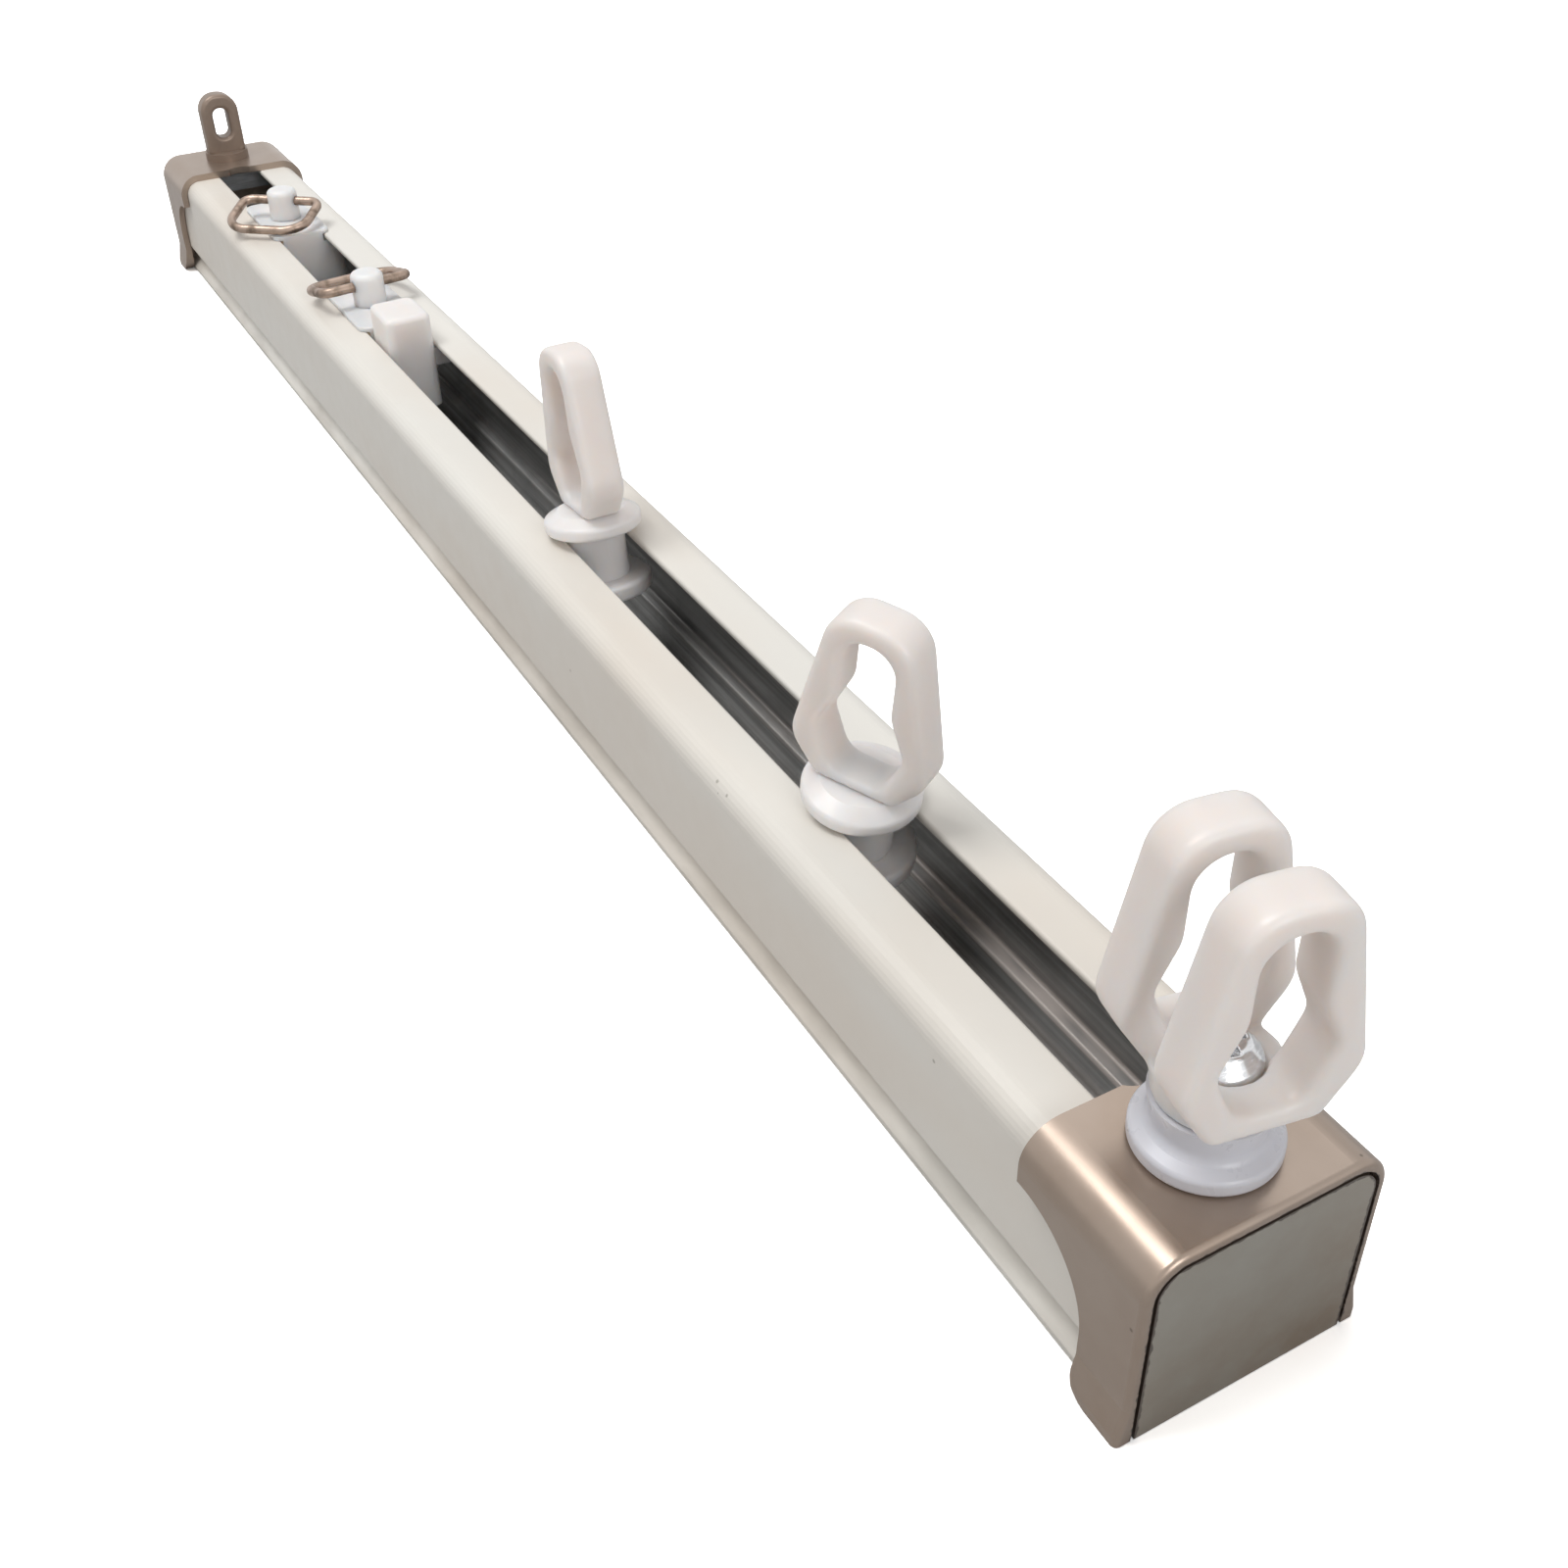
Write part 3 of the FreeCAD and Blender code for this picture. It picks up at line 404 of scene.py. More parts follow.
@dataclass(frozen=True)
class RailEnamel(Finish):
    """Cream enamel outside, bare rolled steel inside the channel, with the scuffs of a handled sample.

    Places are in millimetres, and a pair says where a change starts and where it ends.
    """

    steel: Colour = srgb(172, 172, 171)
    # colour of the painted highlight and reflection inside the channel
    sheen_colour: Colour = srgb(246, 234, 226)
    darker_tone: Colour = srgb(138, 130, 118)
    scuffs: Marks = ()
    widening: Pair = (3.9, 4.5)
    channel_half: Pair = (7.3, 8.6)
    bead_side: Pair = (1.35, 2.35)
    floor_middle: Pair = (1.6, 0.4)
    bend_centre: Pair = (6.8, 14.6)
    lip_side: Pair = (3.4, 4.0)
    lip_reach: Pair = (1.46, 1.8)
    darker_foot: Pair = (0.3, 4.6)
    side_wall: Pair = (8.3, 8.98)
    # span along the rail of the painted shade on the side walls
    side_shade_length: Pair = (20.0, 110.0)
    ledge_rise: Pair = (3.9, 4.3)
    ledge_fall: Pair = (4.95, 5.3)
    inner_line: Pair = (7.0, 7.25)
    outer_line: Pair = (7.75, 8.0)
    low_wall: Pair = (0.9, 3.0)
    inner_wall: Pair = (5.8, 6.7)
    # span along the rail over which the painted highlight and reflection fade in
    sheen_length: Pair = (20.0, 112.0)

    def inside(self, recipe: Recipe) -> Socket:
        """Share of bare steel: 1 within the channel, 0 on every outside face.

        Args:
            recipe: The material's recipe.

        Returns:
            The share's socket.
        """
        across = recipe.math("ABSOLUTE", recipe.along(Axis.Y))
        height = recipe.along(Axis.Z)
        wall = recipe.over(height, self.widening, *(half * MM for half in self.channel_half))
        within = recipe.math("LESS_THAN", across, wall)
        floor = recipe.over(across, self.bead_side, *(middle * MM for middle in self.floor_middle))
        over = recipe.math("GREATER_THAN", height, floor)
        bend_y, bend_z = self.bend_centre
        past_y = recipe.math("MAXIMUM", recipe.math("SUBTRACT", across, bend_y * MM), 0.0)
        past_z = recipe.math("MAXIMUM", recipe.math("SUBTRACT", height, bend_z * MM), 0.0)
        reach = recipe.math("ADD", recipe.math("POWER", past_y, 2.0), recipe.math("POWER", past_z, 2.0))
        lip = recipe.over(across, self.lip_side, *(reach_mm * MM for reach_mm in self.lip_reach))
        under = recipe.math("LESS_THAN", reach, recipe.math("POWER", lip, 2.0))
        return recipe.math("MULTIPLY", recipe.math("MULTIPLY", within, over), under)

    def make(self) -> bpy.types.Material:
        """Build the finish's material.

        Returns:
            The material.
        """
        recipe = Recipe(self.name)
        inside = self.inside(recipe)
        # painted highlight and reflection inside the channel
        painted_sheen = self.painted_sheen(recipe)
        streak = recipe.noise(per_mm=0.9, detail=3.0, stretch=(0.02, 1.0, 1.0), rough=0.6)
        base = recipe.mix(inside, self.enamelled(recipe), self.bare(recipe, streak, painted_sheen))
        wear = recipe.noise(per_mm=0.35, detail=3.0)
        worn = recipe.ramp(wear, 0.3, 0.75, self.roughness - 0.05, self.roughness + 0.08)
        rolled = recipe.ramp(streak, 0.2, 0.8, 0.3, 0.48)
        rough = recipe.blend(inside, worn, rolled)
        peel = recipe.bump(recipe.noise(per_mm=1.4), depth_mm=0.012)
        grain = recipe.bump(recipe.math("MULTIPLY", streak, inside), depth_mm=0.03, base=peel)
        # less metal where the painted highlight and reflection lie
        metal = recipe.math("MULTIPLY", inside, recipe.ramp(painted_sheen, 0.0, 1.0, 0.6, 0.1))
        shader = recipe.surface(Base_Color=base, Roughness=rough, Metallic=metal, Normal=grain)
        return recipe.close(shader)

    def enamelled(self, recipe: Recipe) -> Socket:
        """Colour of the enamel: mottled, with painted shade down the sides, darker towards the foot in
        cloudy patches, with its scuffs.

        Args:
            recipe: The material's recipe.

        Returns:
            The colour's socket.
        """
        mottle = recipe.noise(per_mm=0.05, detail=3.0, stretch=(0.35, 1.0, 1.0))
        warmer = tinted(self.colour, 0.96, 0.91, 0.87)
        # duller colour of the painted shade on the side walls
        side_shade_colour = tinted(self.colour, 0.78, 0.755, 0.735)
        enamel = recipe.mix(recipe.ramp(mottle, 0.35, 0.7), self.colour, warmer)
        # painted shade down the side walls
        enamel = recipe.mix(self.painted_side_shade(recipe), enamel, side_shade_colour)
        # darker towards the foot in cloudy patches
        low = recipe.over(recipe.along(Axis.Z), self.darker_foot, 0.42, 0.0)
        clouds = recipe.noise(per_mm=0.25, detail=4.0, stretch=(0.3, 1.0, 1.0))
        enamel = recipe.mix(recipe.math("MULTIPLY", low, recipe.ramp(clouds, 0.3, 0.75)), enamel, self.darker_tone)
        for centre, radius in self.scuffs:
            share = recipe.math("MULTIPLY", recipe.spot(centre, radius), 0.6)
            enamel = recipe.mix(share, enamel, self.darker_tone)
        return enamel

    def bare(self, recipe: Recipe, streak: Socket, painted_sheen: Socket) -> Socket:
        """Colour of the bare steel: streaks from the rolls, stains, and painted highlights and reflections
        on the ledge and low down the walls.

        Args:
            recipe: The material's recipe.
            streak: Noise drawn out along the rail.
            painted_sheen: Share of painted highlight and reflection.

        Returns:
            The colour's socket.
        """
        bright = tinted(self.steel, 1.35, 1.35, 1.35)
        dark = tinted(self.steel, 0.62, 0.62, 0.62)
        steel = recipe.mix(recipe.ramp(streak, 0.3, 0.72), dark, bright)
        stain = recipe.ramp(recipe.noise(per_mm=0.12, detail=4.0), 0.45, 0.72, 0.0, 0.5)
        # painted highlight and reflection laid over the steel
        return recipe.mix(painted_sheen, recipe.mix(stain, steel, dark), self.sheen_colour)

    def painted_side_shade(self, recipe: Recipe) -> Socket:
        """Share of painted shade down the side walls, weaker towards the near end.

        Args:
            recipe: The material's recipe.

        Returns:
            The share's socket.
        """
        wall = recipe.over(recipe.math("ABSOLUTE", recipe.along(Axis.Y)), self.side_wall)
        along = recipe.over(recipe.along(Axis.X), self.side_shade_length, 0.3, 0.12)
        return recipe.math("MULTIPLY", wall, along)

    def painted_sheen(self, recipe: Recipe) -> Socket:
        """Share of painted highlight and reflection: bright lines along both edges of the ledge over the
        side groove, patches on the ledge and light low down the walls, fading away from the near end.

        Args:
            recipe: The material's recipe.

        Returns:
            The share's socket.
        """
        height = recipe.along(Axis.Z)
        across = recipe.math("ABSOLUTE", recipe.along(Axis.Y))
        risen = recipe.over(height, self.ledge_rise)
        level = recipe.math("MULTIPLY", risen, recipe.over(height, self.ledge_fall, 1.0, 0.0))
        clouds = recipe.noise(per_mm=0.22, detail=3.0, stretch=(0.3, 1.0, 1.0))
        patches = recipe.ramp(clouds, 0.36, 0.66, 0.15, 0.95)
        inner = recipe.over(across, self.inner_line, 1.0, 0.0)
        outer = recipe.over(across, self.outer_line)
        # painted highlights along both edges of the ledge
        lines = recipe.math("MULTIPLY", recipe.math("MAXIMUM", inner, outer), 0.85)
        ledge = recipe.math("MULTIPLY", level, recipe.math("MAXIMUM", patches, lines))
        # painted reflection: lighter low down the walls
        low = recipe.over(height, self.low_wall, 0.3, 0.04)
        wall = recipe.over(across, self.inner_wall)
        # the painted light fades away from the near end
        near_end = recipe.over(recipe.along(Axis.X), self.sheen_length, 0.06, 1.0)
        both = recipe.math("MULTIPLY", recipe.math("MAXIMUM", ledge, low), wall)
        return recipe.math("MULTIPLY", both, near_end)


@dataclass(frozen=True)
class MetallicLacquer(Finish):
    """Satin lacquer with metal flake over a pressed part, with specks and handling marks.

    A line is the painted shade in the groove round the panel: half width, height and corner of its outline,
    with the reach of the shade inside and outside it. All places are in millimetres.
    """

    metal: float = 0.7
    specks: Marks = ()
    speck_colour: Colour = srgb(104, 92, 82)
    line: Point | None = None
    line_reach: Pair = (-0.1, 0.1)
    line_edge: float = 0.05
    line_wander: float = 0.6
    # colour of the painted shade in the groove
    groove_shade_colour: Colour = srgb(70, 60, 52)
    # darker, warmer colour of the painted reflection, if any
    painted_reflection: Colour | None = None
    reflection_down: Pair = (1.0, 15.0)
    reflection_across: Pair = (-8.0, 8.0)
    face_from: float = 129.1

    def make(self) -> bpy.types.Material:
        """Build the finish's material.

        Returns:
            The material.
        """
        recipe = Recipe(self.name)
        cloud = recipe.noise(per_mm=0.12, detail=3.0)
        flake = recipe.noise(per_mm=1.1, detail=1.0)
        warm = tinted(self.colour, 0.93, 0.9, 0.87)
        light = tinted(self.colour, 1.12, 1.12, 1.12)
        base = recipe.mix(recipe.ramp(cloud, 0.3, 0.72), self.colour, warm)
        if self.painted_reflection is not None:
            # painted reflection: darker and warmer down and across the face
            base = recipe.mix(self.painted_reflection_share(recipe), base, self.painted_reflection)
        base = recipe.mix(recipe.ramp(flake, 0.45, 0.75, 0.0, 0.08), base, light)
        for centre, radius in self.specks:
            share = recipe.math("MULTIPLY", recipe.spot(centre, radius), 0.75)
            base = recipe.mix(share, base, self.speck_colour)
        metal: object = self.metal
        if self.line is not None:
            groove_shade = self.painted_groove_shade(recipe)
            # painted shade in the groove, with no metal
            base = recipe.mix(groove_shade, base, self.groove_shade_colour)
            metal = recipe.ramp(groove_shade, 0.0, 1.0, self.metal, 0.0)
        wear = recipe.noise(per_mm=0.2)
        rub = recipe.ramp(wear, 0.35, 0.75, self.roughness - 0.02, self.roughness + 0.05)
        normal = recipe.bump(recipe.noise(per_mm=0.45, detail=1.0), depth_mm=0.002)
        shader = recipe.surface(Base_Color=base, Roughness=rub, Metallic=metal, Normal=normal)
        return recipe.close(shader)

    def painted_reflection_share(self, recipe: Recipe) -> Socket:
        """Share of the painted reflection, a darker and warmer colour rising down and across the cap's face
        in uneven patches.

        Args:
            recipe: The material's recipe.

        Returns:
            The share's socket.
        """
        down = recipe.over(recipe.along(Axis.Z), self.reflection_down, 0.5, 0.0)
        across = recipe.over(recipe.along(Axis.Y), self.reflection_across, 0.0, 0.4)
        patches = recipe.ramp(recipe.noise(per_mm=0.22, detail=3.0), 0.3, 0.7, 0.6, 1.2)
        return recipe.math("MULTIPLY", recipe.math("ADD", down, across), patches, True)

    def painted_groove_shade(self, recipe: Recipe) -> Socket:
        """Share of the painted shade in the groove round the panel, on the cap's face only.

        Args:
            recipe: The material's recipe.

        Returns:
            The share's socket.
        """
        half, top, corner = self.line
        low, high = (reach * MM for reach in self.line_reach)
        wander = recipe.math("SUBTRACT", recipe.noise(per_mm=1.3, detail=3.0), 0.5)
        ragged = recipe.math("MULTIPLY", wander, self.line_wander * MM)
        away = recipe.math("ADD", recipe.beyond_arch(half, top, corner), ragged)
        edge = self.line_edge * MM
        over = recipe.ramp(away, low - edge, low + edge)
        under = recipe.ramp(away, high - edge, high + edge, 1.0, 0.0)
        out = recipe.math("ABSOLUTE", recipe.along(Axis.X))
        face = recipe.math("GREATER_THAN", out, self.face_from * MM)
        return recipe.math("MULTIPLY", recipe.math("MULTIPLY", over, under), face)


@dataclass(frozen=True)
class BrushedSatin(Finish):
    """Satin metal whose fine lines run one way, with darker painted reflections in cloudy patches."""

    stretch: Point = (1.0, 0.04, 1.0)
    metal: float = 0.8

    def make(self) -> bpy.types.Material:
        """Build the finish's material.

        Returns:
            The material.
        """
        recipe = Recipe(self.name)
        lines = recipe.noise(per_mm=6.0, stretch=self.stretch)
        dark = tinted(self.colour, 0.82, 0.82, 0.82)
        base = recipe.mix(recipe.ramp(lines, 0.3, 0.7), dark, self.colour)
        # painted reflection: darker cloudy patches that stand in for dark surroundings mirrored in the metal
        dark_reflection = recipe.ramp(recipe.noise(per_mm=0.18, detail=3.0), 0.35, 0.75, 0.0, 0.35)
        base = recipe.mix(dark_reflection, base, dark)
        rough = recipe.ramp(lines, 0.25, 0.75, self.roughness - 0.08, self.roughness + 0.08)
        shader = recipe.surface(Base_Color=base, Roughness=rough, Metallic=self.metal,
                                Normal=recipe.bump(lines, depth_mm=0.01))
        return recipe.close(shader)


@dataclass(frozen=True)
class MouldedPlastic(Finish):
    """Unpainted plastic with a faint flow pattern and a little light passing under its surface."""

    shade: Colour = srgb(234, 222, 215)
    glow: float = 0.8
    depth: float = 3.0
    spread: Point = (1.0, 0.8, 0.65)

    def make(self) -> bpy.types.Material:
        """Build the finish's material.

        Returns:
            The material.
        """
        recipe = Recipe(self.name)
        flow = recipe.noise(per_mm=0.16, detail=3.0, stretch=(1.0, 1.0, 0.5))
        base = recipe.mix(recipe.ramp(flow, 0.35, 0.75, 0.0, 0.55), self.colour, self.shade)
        handled = recipe.noise(per_mm=0.8, detail=3.0)
        rough = recipe.ramp(handled, 0.3, 0.75, self.roughness - 0.05, self.roughness + 0.08)
        normal = recipe.bump(recipe.noise(per_mm=0.3), depth_mm=0.02)
        shader = recipe.surface(Base_Color=base, Roughness=rough, Subsurface_Weight=self.glow,
                                Subsurface_Scale=self.depth * MM, Normal=normal, IOR=1.49)
        shader.inputs["Subsurface Radius"].default_value = self.spread
        return recipe.close(shader)


@dataclass(frozen=True)
class PlatedWire(Finish):
    """Plated wire with a darker tarnish in patches."""

    tarnish: Colour = srgb(116, 101, 88)

    def make(self) -> bpy.types.Material:
        """Build the finish's material.

        Returns:
            The material.
        """
        recipe = Recipe(self.name)
        patch = recipe.ramp(recipe.noise(per_mm=0.5, detail=4.0), 0.42, 0.7)
        base = recipe.mix(patch, self.colour, self.tarnish)
        rough = recipe.ramp(patch, 0.0, 1.0, self.roughness, self.roughness + 0.18)
        shader = recipe.surface(Base_Color=base, Roughness=rough, Metallic=0.9,
                                Normal=recipe.bump(recipe.noise(per_mm=3.0, detail=3.0), depth_mm=0.01))
        return recipe.close(shader)


RAIL_SCUFFS: Marks = (
    ((70.4, -8.6, 16.1), 0.3),
    ((72.4, -8.7, 15.9), 0.24),
    ((71.2, -8.9, 15.4), 0.12),
    ((105.1, -9.0, 13.4), 0.22),
    ((38.5, -9.0, 9.6), 0.2),
)
CAP_SPECKS: Marks = (
    ((121.7, -8.2, 17.6), 0.12),
    ((123.0, -8.6, 17.4), 0.12),
    ((129.2, -10.0, 11.7), 0.2),
    ((129.5, -10.2, 4.4), 0.2),
    ((129.2, 7.8, 17.7), 0.18),
)


class Finishes:
    """Every finish on the track, made once."""

    def __init__(self) -> None:
        """Make the materials."""
        self.rail = RailEnamel("rail_enamel", srgb(229, 226, 219), 0.42, scuffs=RAIL_SCUFFS).make()
        self.cap = MetallicLacquer(
            "cap_champagne_lacquer", srgb(162, 147, 135), 0.31, metal=0.76, specks=CAP_SPECKS,
            line=(9.25, 17.05, 2.45), line_reach=(-2.0, 0.05)).make()
        self.panel = MetallicLacquer(
            "panel_silver_beige", srgb(159, 156, 148), 0.34, metal=0.6, line=(8.95, 16.75, 2.15),
            line_reach=(-0.2, 2.0), painted_reflection=srgb(141, 127, 112)).make()
        self.bolt = MetallicLacquer("bolt_taupe_lacquer", srgb(140, 124, 112), 0.4, metal=0.45).make()
        self.nut = BrushedSatin("nut_zinc", srgb(168, 170, 172), 0.38).make()
        self.screw = BrushedSatin("screw_bright_plate", srgb(230, 231, 233), 0.2, metal=1.0).make()
        self.eye = MouldedPlastic("eye_warm_white", srgb(227, 222, 219), 0.36).make()
        self.glider = MouldedPlastic(
            "glider_warm_white", srgb(238, 233, 231), 0.34, shade=srgb(226, 217, 213)).make()
        self.collar = MouldedPlastic(
            "collar_cool_white", srgb(209, 209, 215), 0.32, shade=srgb(192, 191, 197), glow=0.2).make()
        self.block = MouldedPlastic(
            "block_white", srgb(239, 235, 233), 0.42, shade=srgb(229, 223, 219)).make()
        self.wire = PlatedWire("bail_bronze_wire", srgb(170, 150, 136), 0.34).make()


def mesh_object(name: str, mesh: bpy.types.Mesh) -> bpy.types.Object:
    """Link a mesh into the scene as an object at the origin.

    Args:
        name: Name of the object.
        mesh: Its mesh.

    Returns:
        The object.
    """
    made = bpy.data.objects.new(name, mesh)
    bpy.context.scene.collection.objects.link(made)
    return made


def baked(source: bpy.types.Object, name: str) -> bpy.types.Object:
    """Turn an object with modifiers into a plain mesh object and remove the original.

    Args:
        source: The object with its modifiers.
        name: Name of the plain piece.

    Returns:
        The plain piece.
    """
    graph = bpy.context.evaluated_depsgraph_get()
    mesh = bpy.data.meshes.new_from_object(source.evaluated_get(graph))
    bpy.data.objects.remove(source)
    mesh.name = name
    return mesh_object(name, mesh)


def dress(piece: bpy.types.Object, material: bpy.types.Material) -> None:
    """Give a whole piece one material."""
    piece.data.materials.clear()
    piece.data.materials.append(material)


class Tree:
    """Builds one geometry node tree with named size inputs."""

    def __init__(self, name: str, sizes: dict[str, tuple[str, float | None]]) -> None:
        """Start a tree that takes a mesh and gives a mesh.

        Args:
            name: Name of the tree.
            sizes: For each input its socket type and its default, if it has one.
        """
        self.group = bpy.data.node_groups.new(name, "GeometryNodeTree")
        face = self.group.interface
        face.new_socket("Geometry", in_out="INPUT", socket_type="NodeSocketGeometry")
        self.names: dict[str, str] = {}
        for label, (kind, default) in sizes.items():
            socket = face.new_socket(label, in_out="INPUT", socket_type=kind)
            if default is not None:
                socket.default_value = default
            self.names[label] = socket.identifier
        face.new_socket("Geometry", in_out="OUTPUT", socket_type="NodeSocketGeometry")
        self.start = self.group.nodes.new("NodeGroupInput")

    def add(self, kind: str, values: dict[str, object] | None = None, **settings: object) -> bpy.types.Node:
        """Add a node, set its properties and feed its inputs.

        Args:
            kind: Type of node.
            values: For each input name or number a socket to link or a plain value.
            settings: The node's own properties.

        Returns:
            The node.
        """
        node = self.group.nodes.new(kind)
        for key, value in settings.items():
            setattr(node, key, value)
        for key, value in (values or {}).items():
            socket = node.inputs[key]
            if isinstance(value, bpy.types.NodeSocket):
                self.group.links.new(value, socket)
            else:
                socket.default_value = value
        return node

    def finish(self, last: Socket, material: Socket) -> None:
        """Close the tree with real meshes and their material.

        Args:
            last: The geometry.
            material: The material input.
        """
        real = self.add("GeometryNodeRealizeInstances", {0: last})
        painted = self.add("GeometryNodeSetMaterial", {"Geometry": real.outputs[0], "Material": material})
        end = self.group.nodes.new("NodeGroupOutput")
        self.group.links.new(painted.outputs[0], end.inputs[0])

    def run(self, source: bpy.types.Object, name: str, values: dict[str, object]) -> bpy.types.Object:
        """Run the tree on an object and return the plain piece.

        Args:
            source: Object that holds the starting mesh.
            name: Name of the piece.
            values: Value for each named input.

        Returns:
            The plain mesh piece.
        """
        modifier = source.modifiers.new(self.group.name, "NODES")
        modifier.node_group = self.group
        for label, value in values.items():
            modifier[self.names[label]] = value
        return baked(source, name)


def bent_line(name: str, points: Sequence[Point], bends: Sequence[float]) -> bpy.types.Object:
    """A closed line through points, with the bend radius wanted at each.

    Args:
        name: Name of the object.
        points: The corners in metres.
        bends: Radius at each corner in metres.

    Returns:
        The object that holds the line.
    """
    count = len(points)
    mesh = bpy.data.meshes.new(name)
    mesh.from_pydata([tuple(p) for p in points], [(i, (i + 1) % count) for i in range(count)], [])
    radius = mesh.attributes.new("bend", "FLOAT", "POINT")
    for index, bend in enumerate(bends):
        radius.data[index].value = bend
    return mesh_object(name, mesh)


@dataclass
class RolledRail:
    """The roll-formed rail, drawn out from its bent section.

    Sizes are in millimetres, the sharp angle in radians.
    """

    finishes: Finishes
    length: float = 256.4
    half_width: float = 9.0
    height: float = 16.8
    sheet: float = 0.8
    slot: float = 6.5
    corner: float = 2.2
    groove_top: float = 4.05
    groove_depth: float = 1.3
    groove_step: float = 0.35
    foot: float = 0.7
    foot_rise: float = 1.3
    bead_base: float = 4.6
    bead_top: float = 2.8
    bead_height: float = 1.2
    bend_steps: int = 8
    sharp_angle: float = 0.7

    def section(self) -> tuple[list[Point], list[float]]:
        """Corners of the section, drawn flat with its height along Y, and the bend at each.

        Returns:
            The corners and the bend radii, in metres.
        """
        half, sheet, lip = self.half_width, self.sheet, self.slot / 2
        wall = half - self.groove_depth
        step = self.groove_top - self.groove_step
        right = [
            (self.bead_top / 2, self.bead_height, 0.3), (self.bead_base / 2, 0.0, 0.3), (half, 0.0, 0.24),
            (half, self.foot, 0.24), (wall, self.foot + self.foot_rise, 0.8), (wall, step, 0.2),
            (half, self.groove_top, 0.32), (half, self.height, self.corner), (lip, self.height, 0.36),
            (lip, self.height - sheet, 0.3), (half - sheet, self.height - sheet, self.corner - sheet),
            (half - sheet, self.groove_top + sheet, 0.3), (wall - sheet, step + sheet, 0.3),
            (wall - sheet, sheet, 0.5), (self.bead_base / 2, sheet, 0.4),
            (self.bead_top / 2, self.bead_height + sheet, 0.48),
        ]
        left = [(-y, z, bend) for y, z, bend in reversed(right)]
        whole = right + left
        return [(y * MM, z * MM, 0.0) for y, z, _ in whole], [bend * MM for _, _, bend in whole]

    def tree(self) -> Tree:
        """Node tree that bends the section, fills it and draws it out along the rail.

        Returns:
            The tree, with named inputs for its sizes and its material.
        """
        tree = Tree("Rolled Rail", {
            "Length": ("NodeSocketFloat", self.length * MM),
            "Bend Steps": ("NodeSocketInt", self.bend_steps),
            "Material": ("NodeSocketMaterial", None),
        })
        start = tree.start.outputs
        line = tree.add("GeometryNodeMeshToCurve", {0: start["Geometry"]})
        radius = tree.add("GeometryNodeInputNamedAttribute", {"Name": "bend"}, data_type="FLOAT")
        bent = tree.add("GeometryNodeFilletCurve", {
            "Curve": line.outputs[0], "Radius": radius.outputs[0], "Count": start["Bend Steps"],
            "Limit Radius": True}, mode="POLY")
        face = tree.add("GeometryNodeFillCurve", {0: bent.outputs[0]}, mode="NGONS")
        offset = tree.add("ShaderNodeCombineXYZ", {"Z": start["Length"]})
        drawn = tree.add("GeometryNodeExtrudeMesh", {
            "Mesh": face.outputs[0], "Offset": offset.outputs[0], "Individual": False}, mode="FACES")
        back = tree.add("GeometryNodeFlipFaces", {0: face.outputs[0]})
        both = tree.add("GeometryNodeJoinGeometry")
        tree.group.links.new(back.outputs[0], both.inputs[0])
        tree.group.links.new(drawn.outputs[0], both.inputs[0])
        closed = tree.add("GeometryNodeMergeByDistance", {0: both.outputs[0], "Distance": WELD})
        angle = tree.add("GeometryNodeInputMeshEdgeAngle")
        sharp = tree.add("FunctionNodeCompare", {0: angle.outputs[0], 1: self.sharp_angle},
                         operation="GREATER_THAN")
        smooth = tree.add("GeometryNodeSetShadeSmooth", {
            0: closed.outputs[0], "Selection": sharp.outputs[0], "Shade Smooth": False}, domain="EDGE")
        tree.finish(smooth.outputs[0], start["Material"])
        return tree

    def build(self) -> bpy.types.Object:
        """Roll the rail and put it on its body in place of the node.

        Returns:
            The rail.
        """
        points, bends = self.section()
        source = bent_line("rail_section", points, bends)
        rail = self.tree().run(source, "rail_rolled", {
            "Length": self.length * MM, "Bend Steps": self.bend_steps, "Material": self.finishes.rail})
        turn = Matrix(((0, 0, 1, -self.length * MM / 2), (1, 0, 0, 0), (0, 1, 0, 0), (0, 0, 0, 1)))
        rail.data.transform(turn)
        outward(rail.data)
        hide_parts("rail")
        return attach(rail, "track")


def outward(mesh: bpy.types.Mesh) -> None:
    """Make a closed mesh's faces point outwards.

    Args:
        mesh: The mesh, changed in place.
    """
    work = bmesh.new()
    work.from_mesh(mesh)
    bmesh.ops.recalc_face_normals(work, faces=work.faces)
    work.to_mesh(mesh)
    work.free()


@dataclass
class SoftMoulding:
    """A moulded or pressed piece: the node's solid with its edges softened as its tool leaves them.

    The voxel of the even skin is in millimetres, and each of the passes pulls that skin smoother.
    """

    node: str
    body: str
    slot: str
    material: bpy.types.Material
    voxel: float = 0.16
    passes: int = 26
    pull: float = 0.5

    def build(self) -> bpy.types.Object:
        """Soften a copy of the node and show it in the node's place.

        Returns:
            The softened piece.
        """
        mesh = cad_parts[self.node].data.copy()
        work = bmesh.new()
        work.from_mesh(mesh)
        bmesh.ops.remove_doubles(work, verts=work.verts, dist=WELD)
        work.to_mesh(mesh)
        work.free()
        source = mesh_object(self.node + "_source", mesh)
        remesh = source.modifiers.new("even skin", "REMESH")
        remesh.mode = "VOXEL"
        remesh.voxel_size = self.voxel * MM
        remesh.use_smooth_shade = True
        soften = source.modifiers.new("soft edges", "SMOOTH")
        soften.iterations = self.passes
        soften.factor = self.pull
        piece = baked(source, self.node + "_moulding")
        dress(piece, self.material)
        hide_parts(self.node)
        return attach(piece, self.body)


